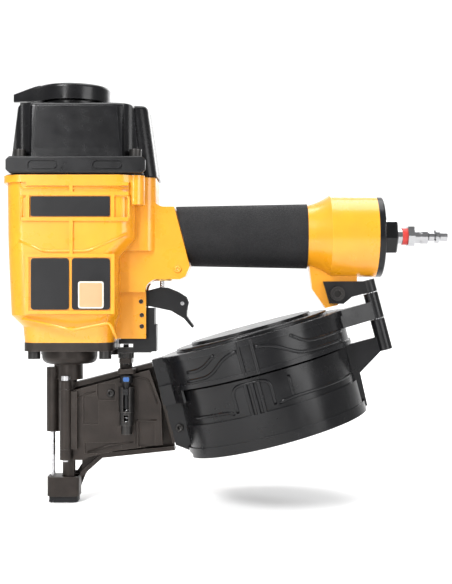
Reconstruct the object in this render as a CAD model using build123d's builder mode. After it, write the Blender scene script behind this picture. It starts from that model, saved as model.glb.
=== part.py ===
"""A pneumatic coil nailer: a cast housing with an integral handle, a driver and its valves inside, a hinged
feed door at the nose, and a round nail canister tilted 15 degrees with a swing-open cover.

Frame, in millimetres: the origin is on the driver's axis at the nose pad's contact plane. +Z runs up that
axis, +X runs back along the handle to the air plug, and -Y is the side that the feed door opens on.
"""

from build123d import *
from math import cos, radians, sin, tan
import os

os.makedirs("parts", exist_ok=True)

# ---------------------------------------------------------------- clearances
RUN = 0.08  # radial clearance of a pin or rod that turns or slides
SEAT = 0.15  # gap between fixed parts that sit in each other
GAP = 0.4  # gap between parts on different bodies

# ---------------------------------------------------------------- housing
CASE_TOP = 230.0  # joint face with the cap
CASE_BOTTOM = 115.0  # joint face with the nose
CASE_FRONT = 38.5  # front of the case, ahead of the driver's axis
CASE_REAR = 50.0  # rear of the upper case
CASE_HALF_WIDTH = 38.0
WAIST_REAR = 38.0  # rear of the lower case
WAIST_TOP = 187.0  # where the upper case starts to narrow
WAIST_END = 174.0
FOOT_FRONT = 28.0
FOOT_REAR = 34.0
FOOT_HALF_WIDTH = 32.0
FOOT_TOP = 134.0
LOBE_REAR = 62.5  # air passage behind the upper case
LOBE_HALF_WIDTH = 23.0
RIM_HEIGHT = 5.0
RIM_PROUD = 3.0
RIB = 1.6  # height of the cast ribs on the sides
CHAMBER_RADIUS = 33.0
BUMPER_RADIUS = 24.5

# ---------------------------------------------------------------- handle and rear bell
HANDLE_Z = 190.0
GRIP_FRONT = 76.0
GRIP_REAR = 170.5
GRIP_HALF_HEIGHT = 21.2
GRIP_SWELL = 2.0  # extra half height at the rear
GRIP_HALF_WIDTH = 18.5
GRIP_WALL = 2.6
HANDLE_WALL = 4.5
ROOT_BOTTOM = 159.0  # underside of the handle's root, over the trigger
ROOT_REAR = 84.0
ROOT_HALF_WIDTH = 19.0
BELL_START = 173.0
BELL_FULL = 187.0
BELL_END = 219.3
BELL_RADIUS = 29.5
BELL_WALL = 4.0
LEG_HALF_WIDTH = 7.0

# ---------------------------------------------------------------- cap, bumpers and deflector
CAP_TOP = 281.0
CAP_CROWN = 3.0  # exhaust seat above the cap's roof
CAP_MID_X = 10.0  # centre of the cap and of its bolt pattern
CAP_BOLT_X = 40.0
CAP_BOLT_Y = 30.0
CAP_BLOCK_HALF = 30.0  # half length of the flat panel between the bolt pockets
CAP_FLANGE = 12.0  # height of the flange that the bolt heads stand on
BOSS_RADIUS = 6.5  # round bosses that carry the cap bolts
BOLT_RADIUS = 2.5
BOLT_HEAD_RADIUS = 4.3
BOLT_HEAD_HEIGHT = 5.5
DEFLECTOR_X = 3.0
DEFLECTOR_RADIUS = 27.5
DEFLECTOR_HEIGHT = 12.0
VISOR_DROP = 6.0  # how far the top of the visor slopes down at its lip
GASKET = 0.8

# ---------------------------------------------------------------- driver
BORE_RADIUS = 24.0
SLEEVE_WALL = 2.5
SLEEVE_BOTTOM = 128.0
SLEEVE_TOP = 217.0
PISTON_BOTTOM = 200.0
PISTON_HEIGHT = 15.0
DRIVER_RADIUS = 3.2
DRIVER_TIP = 82.0
HEAD_RADIUS = 31.0
HEAD_TOP = 236.0
HEAD_BORE_TOP = 252.0

# ---------------------------------------------------------------- nose
NOSE_BORE = 3.6
FLANGE_THICK = 6.0
DISC_RADIUS = 19.8
DISC_BOTTOM = 98.8
NECK_RADIUS = 9.4
NECK_BOTTOM = 87.5
BARREL_RADIUS = 5.2
BARREL_END = 11.0
NOSE_BOLT_FRONT = -21.0
NOSE_BOLT_REAR = 28.5
NOSE_BOLT_Y = 25.0
CHANNEL_HALF = 3.8  # half width of the nail channel
FAR_WALL = 5.0
TILT = 15.0  # slope of the nail strip and of the canister
CHANNEL_TOP = 80.5  # height of the channel's roof at the driver's axis
ROOF = 3.6
HINGE_X = -1.0
HINGE_Y = -13.0
HINGE_RADIUS = 4.2
HINGE_PIN = 2.0
DOOR_BACK = -4.3
DOOR_FRONT = -10.0

# ---------------------------------------------------------------- contact trip
TIP_TOP = 18.0
PAD = 4.3
TIP_FRONT = -15.4
TIP_REAR = 7.6
TIP_HALF_WIDTH = 8.6
ROD_X = -12.0
ROD_RADIUS = 1.6
GUARD_RADIUS = 4.7
GUARD_BOTTOM = 50.0
GUARD_TOP = 96.0
SCREW_X = 40.5
WHEEL_RADIUS = 5.7
WHEEL_BOTTOM = 102.6
WHEEL_THICK = 3.6
ARM_TOP = 131.0
EAR_HALF = 13.0
SLOT_HALF = 8.2
EAR_REAR = 55.8
EAR_BOTTOM = 117.0

# ---------------------------------------------------------------- trigger and its valve
PIVOT_X, PIVOT_Z = 52.4, 143.3
TRIGGER_PIN = 1.6
LEVER_X, LEVER_Z = 81.4, 141.8
LEVER_PIN = 1.3
PLATE = 1.6
TRIGGER_HALF = 7.8
LEVER_HALF = (TRIGGER_HALF - PLATE) / 2
VALVE_X = 66.5
VALVE_RADIUS = 7.0
STEM_RADIUS = 1.7
STEM_BOTTOM = 150.8

# ---------------------------------------------------------------- rear cap and air plug
REAR_CAP_THICK = 4.6
REAR_HEX = 22.2
REAR_HEX_LENGTH = 15.0
AIR_BORE = 2.8

# ---------------------------------------------------------------- canister
CAN_X, CAN_Z = 149.0, 54.0  # centre of the canister's floor
CAN_RADIUS = 62.5
CAN_WALL = 2.2
CAN_RIM = CAN_RADIUS + 2.5
COVER_GAP = 1.1  # between the canister's wall and the cover's skirt
COVER_WALL = 2.4
BAND_LOW = 44.5
BAND_HIGH = 68.0
NOSE_REAR = -75.0  # rear end of the nose's channel, along the canister's floor
HINGE_U = 89.0
COVER_HINGE_Y = -6.0
COVER_HINGE_RADIUS = 5.2
COVER_PIN = 2.5
POST_RADIUS = 6.0
PLATFORM_EDGE = 6.3  # between the platform and the canister's wall
PLATFORM_RADIUS = CAN_RADIUS - CAN_WALL - PLATFORM_EDGE

MAG = Plane(origin=(CAN_X, 0, CAN_Z), x_dir=(cos(radians(TILT)), 0, sin(radians(TILT))),
            z_dir=(-sin(radians(TILT)), 0, cos(radians(TILT))))
SIDE = Plane.XZ  # its local axes are X and Z, and it faces -Y


def slope(x, z_at_axis):
    """Height at x of a line that has the channel's slope and the height z_at_axis at the driver's axis."""
    return z_at_axis + x * tan(radians(TILT))


def side_at(y):
    """The side-view plane at the given Y. Extruding from it by a positive amount goes towards -Y."""
    return SIDE.offset(-y)


def cross_section(x):
    """The plane across the handle at x, whose local axes are Y and Z."""
    return Plane(origin=(x, 0, 0), x_dir=(0, 1, 0), z_dir=(1, 0, 0))


# ================================================================ housing
RIB_BOXES = (  # cast ribs on the sides of the case: x from, x to, z from, z to
    (-27, 46, 216, 218.4), (-27, 46, 198.6, 201), (-24, 46, 222.6, 225),
    (-24, -21.6, 199, 218), (34, 36.4, 199, 218), (5.6, 8, 217, 225), (5.6, 8, 176, 200),
)
PANEL_X, PANEL_Z = 6.0, 155.5  # centre of the raised frame round the label plates
PANEL_LENGTH, PANEL_HEIGHT = 61.0, 41.0
SLOT_STEP = 131.0
EAR_PINS = ((PIVOT_X, PIVOT_Z), (PIVOT_X + 0.5, PIVOT_Z - 9.7), (PIVOT_X + 0.5, PIVOT_Z - 17.6))
LEG_BOLT_X, LEG_BOLT_Z = 191.4, 148.8
LEG_BOLT_RADIUS = 2.5
CAP_BOLT_DEPTH = 18.0
NOSE_BOLT_DEPTH = 12.0
CAP_BOLTS = [(CAP_MID_X + i * CAP_BOLT_X, j * CAP_BOLT_Y) for i in (-1, 1) for j in (-1, 1)]
NOSE_BOLTS = [(x, j * NOSE_BOLT_Y) for x in (NOSE_BOLT_FRONT, NOSE_BOLT_REAR) for j in (-1, 1)]


def save(part, name):
    """Label a finished sub-part and write it to its own file."""
    part.part.label = name
    export_step(part.part, f"parts/{name}.step")


FACE_Y = CASE_HALF_WIDTH
GRIP_CORE = GRIP_WALL + SEAT


def rounded_case(z, front, rear, half_width, radius):
    """A horizontal rounded outline of the case, from its front to its rear."""
    with BuildSketch(Plane.XY.offset(z)) as outline:
        with Locations(((rear - front) / 2, 0)):
            RectangleRounded(rear + front, 2 * half_width, radius)
    return outline.sketch


with BuildPart() as housing:
    # Cylinder case: rim, upper case, waist and foot.
    rim = rounded_case(CASE_TOP, CASE_FRONT + RIM_PROUD, CASE_REAR + 2, CASE_HALF_WIDTH + 1.5, 14)
    extrude(rim, amount=-RIM_HEIGHT)
    levels = [
        (CASE_TOP - RIM_HEIGHT, CASE_FRONT + 0.5, CASE_REAR, CASE_HALF_WIDTH, 12),
        (WAIST_TOP, CASE_FRONT, CASE_REAR - 0.5, CASE_HALF_WIDTH, 12),
        (WAIST_END, CASE_FRONT - 0.4, WAIST_REAR, CASE_HALF_WIDTH, 12),
        (FOOT_TOP, CASE_FRONT - 2, WAIST_REAR - 0.5, CASE_HALF_WIDTH - 1, 12),
        (FOOT_TOP - 8, FOOT_FRONT + 1, FOOT_REAR + 1, FOOT_HALF_WIDTH + 1, 11),
        (CASE_BOTTOM, FOOT_FRONT, FOOT_REAR, FOOT_HALF_WIDTH, 10),
    ]
    for upper, lower in zip(levels, levels[1:]):
        loft([rounded_case(*upper).face(), rounded_case(*lower).face()])
    # Air passage behind the case, up to the cap.
    with BuildSketch(Plane.XY.offset(CASE_TOP)):
        with Locations(((CASE_REAR + LOBE_REAR) / 2 - 8, 0)):
            RectangleRounded(LOBE_REAR - CASE_REAR + 18, 2 * LOBE_HALF_WIDTH, 8)
    extrude(amount=-(CASE_TOP - ROOT_BOTTOM - 20))
    # Bosses for the cap bolts.
    with Locations(*[(x, y, CASE_TOP - CAP_BOLT_DEPTH / 2 - 1) for x, y in CAP_BOLTS]):
        Cylinder(BOSS_RADIUS, CAP_BOLT_DEPTH + 2)
    # Handle root, over the trigger.
    with BuildSketch(side_at(ROOT_HALF_WIDTH)):
        with BuildLine():
            Polyline((30, 150), (30, 222), (LOBE_REAR - 2, 222), (LOBE_REAR - 2, 217))
            RadiusArc((LOBE_REAR - 2, 217), (LOBE_REAR + 6, 210), -9)
            Polyline((LOBE_REAR + 6, 210), (ROOT_REAR - 8, 210), (ROOT_REAR + 3, 168),
                     (ROOT_REAR, ROOT_BOTTOM + 2), (ROOT_REAR - 4, ROOT_BOTTOM), (64, ROOT_BOTTOM))
            RadiusArc((64, ROOT_BOTTOM), (EAR_REAR, 150), -8.7)
            Line((EAR_REAR, 150), (30, 150))
        make_face()
    extrude(amount=2 * ROOT_HALF_WIDTH)
    # Ears that carry the trigger.
    with BuildSketch(side_at(EAR_HALF)):
        with Locations(((30 + EAR_REAR) / 2, (EAR_BOTTOM + 160) / 2)):
            Rectangle(EAR_REAR - 30, 160 - EAR_BOTTOM)
    extrude(amount=2 * EAR_HALF)
    # Handle core under the grip sleeve, then the bell.
    with BuildSketch(cross_section(GRIP_FRONT - 10)):
        with Locations((0, HANDLE_Z)):
            Ellipse(GRIP_HALF_WIDTH - GRIP_CORE, GRIP_HALF_HEIGHT - GRIP_CORE)
    with BuildSketch(cross_section(GRIP_REAR + 1)):
        with Locations((0, HANDLE_Z)):
            Ellipse(GRIP_HALF_WIDTH - GRIP_CORE + 1, GRIP_HALF_HEIGHT + GRIP_SWELL - GRIP_CORE)
    loft()
    with BuildSketch(cross_section(GRIP_REAR + SEAT)):
        with Locations((0, HANDLE_Z)):
            Ellipse(GRIP_HALF_WIDTH + 1, GRIP_HALF_HEIGHT + GRIP_SWELL - 1)
    with BuildSketch(cross_section(BELL_START + 3)):
        with Locations((0, HANDLE_Z)):
            Ellipse(GRIP_HALF_WIDTH + 4, GRIP_HALF_HEIGHT + GRIP_SWELL + 0.5)
    with BuildSketch(cross_section(BELL_FULL)):
        with Locations((0, HANDLE_Z)):
            Ellipse(BELL_RADIUS, BELL_RADIUS - 0.01)
    loft()
    with BuildSketch(cross_section(BELL_FULL - 0.5)):
        with Locations((0, HANDLE_Z)):
            Circle(BELL_RADIUS)
    extrude(amount=BELL_END - BELL_FULL + 0.5)
    # Leg that carries the magazine.
    with BuildSketch(side_at(LEG_HALF_WIDTH)):
        with BuildLine():
            Polyline((171.5, 172), (174, 152), (183.5, 138.5), (192, 140.5), (206, 154), (206, 166),
                     (171.5, 172))
        make_face()
    extrude(amount=2 * LEG_HALF_WIDTH)
    # Cast ribs on both sides of the case.
    for side in (-1, 1):
        face = side * (FACE_Y - 0.8)
        rib_centre = face + side * (RIB + 0.8) / 2
        for x0, x1, z0, z1 in RIB_BOXES:
            with Locations(((x0 + x1) / 2, rib_centre, (z0 + z1) / 2)):
                Box(x1 - x0, RIB + 0.8, z1 - z0)
        with Locations((PANEL_X, rib_centre, PANEL_Z)):
            Box(PANEL_LENGTH, RIB + 0.8, PANEL_HEIGHT)
        with Locations((PANEL_X, side * (FACE_Y + RIB - 0.5), PANEL_Z)):
            Box(PANEL_LENGTH - 5, 1.0, PANEL_HEIGHT - 4.5, mode=Mode.SUBTRACT)
    # Cavities: cylinder chamber, bumper seat, handle reservoir, bell and air passage.
    with Locations((0, 0, (SLEEVE_BOTTOM + CASE_TOP) / 2)):
        Cylinder(CHAMBER_RADIUS, CASE_TOP - SLEEVE_BOTTOM, mode=Mode.SUBTRACT)
    with Locations((0, 0, (CASE_BOTTOM + SLEEVE_BOTTOM) / 2)):
        Cylinder(BUMPER_RADIUS + SEAT, SLEEVE_BOTTOM - CASE_BOTTOM + 1, mode=Mode.SUBTRACT)
    with BuildSketch(cross_section(28)):
        with Locations((0, HANDLE_Z + 3)):
            Ellipse(11, 13)
    with BuildSketch(cross_section(GRIP_REAR)):
        with Locations((0, HANDLE_Z)):
            Ellipse(GRIP_HALF_WIDTH - GRIP_CORE - HANDLE_WALL, GRIP_HALF_HEIGHT - GRIP_CORE - HANDLE_WALL)
    loft(mode=Mode.SUBTRACT)
    with Locations(((GRIP_REAR - 4 + BELL_END) / 2, 0, HANDLE_Z)):
        Cylinder(10, BELL_END - GRIP_REAR + 4, rotation=(0, 90, 0), mode=Mode.SUBTRACT)
    with Locations(((BELL_FULL + 6 + BELL_END) / 2, 0, HANDLE_Z)):
        Cylinder(BELL_RADIUS - BELL_WALL, BELL_END - BELL_FULL - 6, rotation=(0, 90, 0), mode=Mode.SUBTRACT)
    with Locations((46, 0, CASE_TOP - 20)):
        Box(20, 26, 40, mode=Mode.SUBTRACT)
    # Trigger valve pocket, from the root's underside up to the reservoir.
    with Locations((VALVE_X, 0, ROOT_BOTTOM + 11)):
        Cylinder(VALVE_RADIUS + SEAT, 26, mode=Mode.SUBTRACT)
    # Slot between the ears for the trigger and the trip arm.
    with Locations(((33.6 + 66) / 2, 0, (CASE_BOTTOM + SLOT_STEP) / 2)):
        Box(66 - 33.6, 2 * SLOT_HALF, SLOT_STEP - CASE_BOTTOM, mode=Mode.SUBTRACT)
    with Locations(((46 + 62) / 2, 0, (EAR_BOTTOM + 156) / 2)):
        Box(16, 2 * SLOT_HALF, 156 - EAR_BOTTOM, mode=Mode.SUBTRACT)
    # Pin holes through the ears, the leg's bolt hole, and the bolt holes at both ends of the case.
    for x, z in EAR_PINS:
        with Locations((x, 0, z)):
            Cylinder(TRIGGER_PIN, 2 * ROOT_HALF_WIDTH + 2, rotation=(90, 0, 0), mode=Mode.SUBTRACT)
    with Locations((LEG_BOLT_X, 0, LEG_BOLT_Z)):
        Cylinder(LEG_BOLT_RADIUS, 2 * LEG_HALF_WIDTH + 2, rotation=(90, 0, 0), mode=Mode.SUBTRACT)
    with Locations(*[(x, y, CASE_TOP - CAP_BOLT_DEPTH / 2) for x, y in CAP_BOLTS]):
        Cylinder(BOLT_RADIUS, CAP_BOLT_DEPTH, mode=Mode.SUBTRACT)
    with Locations(*[(x, y, CASE_BOTTOM + NOSE_BOLT_DEPTH / 2) for x, y in NOSE_BOLTS]):
        Cylinder(BOLT_RADIUS, NOSE_BOLT_DEPTH, mode=Mode.SUBTRACT)
save(housing, "housing")


# ================================================================ grip sleeve
with BuildPart() as grip_sleeve:
    with BuildSketch(cross_section(GRIP_FRONT - 12)):
        with Locations((0, HANDLE_Z)):
            Ellipse(GRIP_HALF_WIDTH, GRIP_HALF_HEIGHT)
    with BuildSketch(cross_section(GRIP_REAR)):
        with Locations((0, HANDLE_Z)):
            Ellipse(GRIP_HALF_WIDTH + 1, GRIP_HALF_HEIGHT + GRIP_SWELL)
    loft()
    with BuildSketch(cross_section(GRIP_FRONT - 12)):
        with Locations((0, HANDLE_Z)):
            Ellipse(GRIP_HALF_WIDTH - GRIP_WALL, GRIP_HALF_HEIGHT - GRIP_WALL)
    with BuildSketch(cross_section(GRIP_REAR)):
        with Locations((0, HANDLE_Z)):
            Ellipse(GRIP_HALF_WIDTH + 1 - GRIP_WALL, GRIP_HALF_HEIGHT + GRIP_SWELL - GRIP_WALL)
    loft(mode=Mode.SUBTRACT)
    # The front edge is cut along the handle root, leaning back as it goes down.
    with BuildSketch(side_at(30)):
        with BuildLine():
            Polyline((GRIP_FRONT - 14, 220), (ROOT_REAR - 7.3, 220), (ROOT_REAR - 7.3, 210.3),
                     (ROOT_REAR + 3.6, 168),
                     (ROOT_REAR + 0.6, 155), (GRIP_FRONT - 14, 155), (GRIP_FRONT - 14, 220))
        make_face()
    extrude(amount=60, mode=Mode.SUBTRACT)
save(grip_sleeve, "grip_sleeve")

# ================================================================ cap group
FLANGE_BOTTOM = CASE_TOP + GASKET
BLOCK_Z = FLANGE_BOTTOM + CAP_FLANGE

with BuildPart() as cap_gasket:
    extrude(rounded_case(CASE_TOP, CASE_FRONT + RIM_PROUD - 1, CASE_REAR + 1, CASE_HALF_WIDTH, 14),
            amount=GASKET)
    with Locations(((CASE_REAR + LOBE_REAR) / 2 - 8, 0, CASE_TOP + GASKET / 2)):
        Box(LOBE_REAR - CASE_REAR + 16, 2 * LOBE_HALF_WIDTH - 2, GASKET)
    with Locations(*[(x, y, CASE_TOP + GASKET / 2) for x, y in CAP_BOLTS]):
        Cylinder(BOSS_RADIUS - 0.5, GASKET)
    with Locations((0, 0, CASE_TOP)):
        Cylinder(HEAD_RADIUS + 0.5, 4, mode=Mode.SUBTRACT)
    with Locations((46, 0, CASE_TOP)):
        Box(20, 26, 4, mode=Mode.SUBTRACT)
    with Locations(*[(x, y, CASE_TOP) for x, y in CAP_BOLTS]):
        Cylinder(BOLT_RADIUS, 4, mode=Mode.SUBTRACT)
save(cap_gasket, "cap_gasket")

with BuildPart() as cylinder_cap:
    extrude(rounded_case(FLANGE_BOTTOM, CASE_FRONT - 1, CASE_REAR + 2, CASE_HALF_WIDTH - 2.2, 13),
            amount=CAP_FLANGE)
    with Locations(*[(x, y, FLANGE_BOTTOM + CAP_FLANGE / 2) for x, y in CAP_BOLTS]):
        Cylinder(BOSS_RADIUS - 0.9, CAP_FLANGE)
    loft([rounded_case(BLOCK_Z, CASE_FRONT - 1.5, CASE_REAR + 2, CASE_HALF_WIDTH - 3, 13).face(),
          rounded_case(CAP_TOP, CASE_FRONT - 5, CASE_REAR - 1, CASE_HALF_WIDTH - 6, 15).face()])
    # Air chamber behind the block, its rear face leaning forwards up to the roof.
    loft([rounded_case(FLANGE_BOTTOM, 0, LOBE_REAR + 2, LOBE_HALF_WIDTH + 1, 8).face(),
          rounded_case(CAP_TOP, 0, LOBE_REAR - 5, LOBE_HALF_WIDTH - 3, 8).face()])
    fillet(cylinder_cap.edges().filter_by_position(Axis.Z, CAP_TOP - 0.1, CAP_TOP + 0.1), 3)
    # Concave flutes over the four bolts.
    for x, y in CAP_BOLTS:
        with Locations((x, y + (3 if y > 0 else -3), BLOCK_Z + 20)):
            Cylinder(9.0, 42, mode=Mode.SUBTRACT)
    # Flat panels between the flutes, and the crown that carries the deflector.
    for side in (-1, 1):
        with BuildSketch(side_at(side * (CASE_HALF_WIDTH - 3.5))):
            with BuildLine():
                Polyline((CAP_MID_X - CAP_BLOCK_HALF, BLOCK_Z), (CAP_MID_X + CAP_BLOCK_HALF, BLOCK_Z),
                         (CAP_MID_X + CAP_BLOCK_HALF - 2.5, CAP_TOP - 3),
                         (CAP_MID_X - CAP_BLOCK_HALF + 2.5, CAP_TOP - 3), (CAP_MID_X - CAP_BLOCK_HALF,
                                                                           BLOCK_Z))
            make_face()
        extrude(amount=side * 12)
    with Locations((DEFLECTOR_X, 0, CAP_TOP + CAP_CROWN / 2 - 0.5)):
        Cylinder(DEFLECTOR_RADIUS - 4, CAP_CROWN + 1)
    # Head valve bore, exhaust passage and air passage.
    with Locations((0, 0, (FLANGE_BOTTOM + HEAD_BORE_TOP) / 2)):
        Cylinder(HEAD_RADIUS + RUN, HEAD_BORE_TOP - FLANGE_BOTTOM, mode=Mode.SUBTRACT)
    with Locations((0, 0, (HEAD_BORE_TOP + CAP_TOP - 4) / 2)):
        Cylinder(20, CAP_TOP - 4 - HEAD_BORE_TOP, mode=Mode.SUBTRACT)
    with Locations((DEFLECTOR_X - 12, 0, CAP_TOP)):
        Cylinder(5, 12, mode=Mode.SUBTRACT)
    with Locations((45.5, 0, (FLANGE_BOTTOM + CAP_TOP - 8) / 2)):
        Box(17, 26, CAP_TOP - 8 - FLANGE_BOTTOM, mode=Mode.SUBTRACT)
    with Locations(*[(x, y, FLANGE_BOTTOM + 6) for x, y in CAP_BOLTS]):
        Cylinder(BOLT_RADIUS, 14, mode=Mode.SUBTRACT)
    with Locations((DEFLECTOR_X, 0, CAP_TOP)):
        Cylinder(2.5, 18, mode=Mode.SUBTRACT)
save(cylinder_cap, "cylinder_cap")

GUARD_LENGTH = 95.0
with BuildPart() as side_guards:
    with BuildSketch(side_at(2 - CASE_HALF_WIDTH)):
        with Locations((CAP_MID_X, FLANGE_BOTTOM + 6)):
            Rectangle(GUARD_LENGTH, 11.6)
        chamfer(vertices(), 2.5)
    extrude(amount=5)
    fillet(side_guards.edges().filter_by(Axis.X).group_by(Axis.Y)[0], 1.2)
    with BuildSketch(side_at(-CASE_HALF_WIDTH - 3)):
        with Locations((CAP_MID_X - 22, FLANGE_BOTTOM + 5.5), (CAP_MID_X + 22, FLANGE_BOTTOM + 5.5)):
            SlotOverall(21, 7)
        with Locations((CAP_MID_X - 22, FLANGE_BOTTOM + 5.5), (CAP_MID_X + 22, FLANGE_BOTTOM + 5.5)):
            SlotOverall(18, 4, mode=Mode.SUBTRACT)
    extrude(amount=-1.0, mode=Mode.SUBTRACT)
    with Locations(*[(x, y, FLANGE_BOTTOM + 6) for x, y in CAP_BOLTS]):
        Cylinder(BOLT_HEAD_RADIUS + 0.6, 20, mode=Mode.SUBTRACT)
    mirror(about=Plane.XZ)
save(side_guards, "side_guards")


def socket_bolts(places, seat, length, up):
    """Socket-head bolts at the given places, with their heads above or below the seat height."""
    with BuildPart() as bolts:
        for x, y in places:
            with Locations((x, y, seat + up * BOLT_HEAD_HEIGHT / 2)):
                Cylinder(BOLT_HEAD_RADIUS, BOLT_HEAD_HEIGHT)
            with Locations((x, y, seat - up * length / 2)):
                Cylinder(BOLT_RADIUS, length)
        for x, y in places:
            with BuildSketch(Plane.XY.offset(seat + up * BOLT_HEAD_HEIGHT)):
                with Locations((x, y)):
                    RegularPolygon(2.4, 6)
            extrude(amount=-up * 3, mode=Mode.SUBTRACT)
    return bolts


cap_bolts = socket_bolts(CAP_BOLTS, BLOCK_Z, CAP_BOLT_DEPTH + GASKET + 10, 1)
save(cap_bolts, "cap_bolts")

with BuildPart() as exhaust_deflector:
    with BuildSketch(Plane.XY.offset(CAP_TOP + 3.6)):
        with Locations((DEFLECTOR_X, 0)):
            Circle(DEFLECTOR_RADIUS)
        with BuildLine():
            Polyline((DEFLECTOR_X - 20, 18), (DEFLECTOR_X - 41, 12), (DEFLECTOR_X - 41, -12),
                     (DEFLECTOR_X - 20, -18),
                     (DEFLECTOR_X - 20, 18))
        make_face()
    extrude(amount=DEFLECTOR_HEIGHT - 1)
    fillet(exhaust_deflector.edges().group_by(Axis.Z)[-1], 2.5)
    # Slope on top of the visor.
    deflector_top = CAP_TOP + 3.6 + DEFLECTOR_HEIGHT - 1
    with BuildSketch(side_at(30)):
        with BuildLine():
            Polyline((DEFLECTOR_X - 22, deflector_top), (DEFLECTOR_X - 42, deflector_top - VISOR_DROP),
                     (DEFLECTOR_X - 42, deflector_top + 1), (DEFLECTOR_X - 22, deflector_top + 1),
                     (DEFLECTOR_X - 22, deflector_top))
        make_face()
    extrude(amount=60, mode=Mode.SUBTRACT)
    with BuildSketch(Plane.XY.offset(CAP_TOP + 3.6)):
        with Locations((DEFLECTOR_X, 0)):
            Circle(DEFLECTOR_RADIUS - 3)
        with Locations((DEFLECTOR_X - 26, 0)):
            Rectangle(32, 20)
        with Locations((DEFLECTOR_X, 0)):
            Circle(9, mode=Mode.SUBTRACT)
    extrude(amount=5, mode=Mode.SUBTRACT)
    with Locations((DEFLECTOR_X, 0, CAP_TOP + DEFLECTOR_HEIGHT / 2)):
        Cylinder(2.5 + RUN, DEFLECTOR_HEIGHT + 8, mode=Mode.SUBTRACT)
    with Locations((DEFLECTOR_X, 0, CAP_TOP + DEFLECTOR_HEIGHT + 2)):
        Cylinder(6, 3, mode=Mode.SUBTRACT)
save(exhaust_deflector, "exhaust_deflector")

with BuildPart() as deflector_screw:
    with Locations((DEFLECTOR_X, 0, CAP_TOP + 2.5)):
        Cylinder(2.5, DEFLECTOR_HEIGHT + 9)
    with Locations((DEFLECTOR_X, 0, CAP_TOP + DEFLECTOR_HEIGHT + 2)):
        Cylinder(5.2, 2.2)
    with BuildSketch(Plane.XY.offset(CAP_TOP + DEFLECTOR_HEIGHT + 3.1)):
        with Locations((DEFLECTOR_X, 0)):
            RegularPolygon(2.6, 6)
    extrude(amount=-1.5, mode=Mode.SUBTRACT)
save(deflector_screw, "deflector_screw")

# ================================================================ driver group
with BuildPart() as bumper:
    with Locations((0, 0, (CASE_BOTTOM + SLEEVE_BOTTOM) / 2)):
        Cylinder(BUMPER_RADIUS - 1, SLEEVE_BOTTOM - CASE_BOTTOM - 2 * SEAT)
        Cylinder(DRIVER_RADIUS + 1.5, 20, mode=Mode.SUBTRACT)
save(bumper, "bumper")

with BuildPart() as cylinder_sleeve:
    with Locations((0, 0, (SLEEVE_BOTTOM + SLEEVE_TOP) / 2 + 0.2)):
        Cylinder(BORE_RADIUS + SLEEVE_WALL, SLEEVE_TOP - SLEEVE_BOTTOM - 0.4)
    with Locations((0, 0, 152)):
        Cylinder(CHAMBER_RADIUS - SEAT, 6)
    with Locations((0, 0, 170)):
        Cylinder(BORE_RADIUS, 120, mode=Mode.SUBTRACT)
    with PolarLocations(BORE_RADIUS + 1, 8):
        with Locations((0, 0, 138)):
            Cylinder(1.5, 8, rotation=(0, 90, 0), mode=Mode.SUBTRACT)
save(cylinder_sleeve, "cylinder_sleeve")

with BuildPart() as drive_piston:
    with Locations((0, 0, PISTON_BOTTOM + PISTON_HEIGHT / 2)):
        Cylinder(BORE_RADIUS - RUN, PISTON_HEIGHT)
    with Locations((0, 0, PISTON_BOTTOM + PISTON_HEIGHT / 2)):
        Cylinder(BORE_RADIUS + 1, 3)
        Cylinder(BORE_RADIUS - 2.4, 3.2, mode=Mode.SUBTRACT)
    with Locations((0, 0, PISTON_BOTTOM + PISTON_HEIGHT)):
        Cylinder(16, 8, mode=Mode.SUBTRACT)
    with Locations((0, 0, PISTON_BOTTOM + PISTON_HEIGHT / 2)):
        Cylinder(BORE_RADIUS - 2.4, PISTON_HEIGHT - 8)
        Cylinder(DRIVER_RADIUS, 30, mode=Mode.SUBTRACT)
    with BuildSketch(Plane.XY.offset(PISTON_BOTTOM + PISTON_HEIGHT / 2 - 1.5)):
        Circle(BORE_RADIUS + 2)
        Circle(BORE_RADIUS - 2.3, mode=Mode.SUBTRACT)
    extrude(amount=3, mode=Mode.SUBTRACT)
save(drive_piston, "drive_piston")

with BuildPart() as piston_ring:
    with BuildSketch(Plane.XY.offset(PISTON_BOTTOM + PISTON_HEIGHT / 2 - 1.4)):
        Circle(BORE_RADIUS - 0.04)
        Circle(BORE_RADIUS - 2.2, mode=Mode.SUBTRACT)
    extrude(amount=2.8)
save(piston_ring, "piston_ring")

with BuildPart() as driver_blade:
    with Locations((0, 0, (DRIVER_TIP + PISTON_BOTTOM + 11) / 2)):
        Cylinder(DRIVER_RADIUS, PISTON_BOTTOM + 11 - DRIVER_TIP)
    chamfer(driver_blade.edges().group_by(Axis.Z)[0], 0.5)
save(driver_blade, "driver_blade")

with BuildPart() as head_valve:
    with BuildSketch(Plane.XZ):
        with BuildLine():
            Polyline((18, SLEEVE_TOP + 0.1), (HEAD_RADIUS - 1.4, SLEEVE_TOP + 0.1), (HEAD_RADIUS - 1.4, 226),
                     (HEAD_RADIUS, 228), (HEAD_RADIUS, HEAD_TOP), (22, HEAD_TOP), (22, 222), (18, 222),
                     (18, SLEEVE_TOP + 0.1))
        make_face()
    revolve(axis=Axis.Z)
save(head_valve, "head_valve")


def spring(radius, wire, low, high, turns, plane=Plane.XY):
    """A round-wire spring along the plane's normal, its wire staying between the low and high ends."""
    with BuildPart() as coil:
        with BuildLine():
            path = Helix((high - low - 2 * wire) / turns, high - low - 2 * wire, radius,
                         center=plane.origin + plane.z_dir * (low + wire), direction=plane.z_dir)
        with BuildSketch(Plane(origin=path @ 0, z_dir=path % 0)):
            Circle(wire)
        sweep(path=path)
    return coil


head_valve_spring = spring(26, 1.0, HEAD_TOP + 0.1, HEAD_BORE_TOP - 0.1, 2.5)
save(head_valve_spring, "head_valve_spring")

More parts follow.
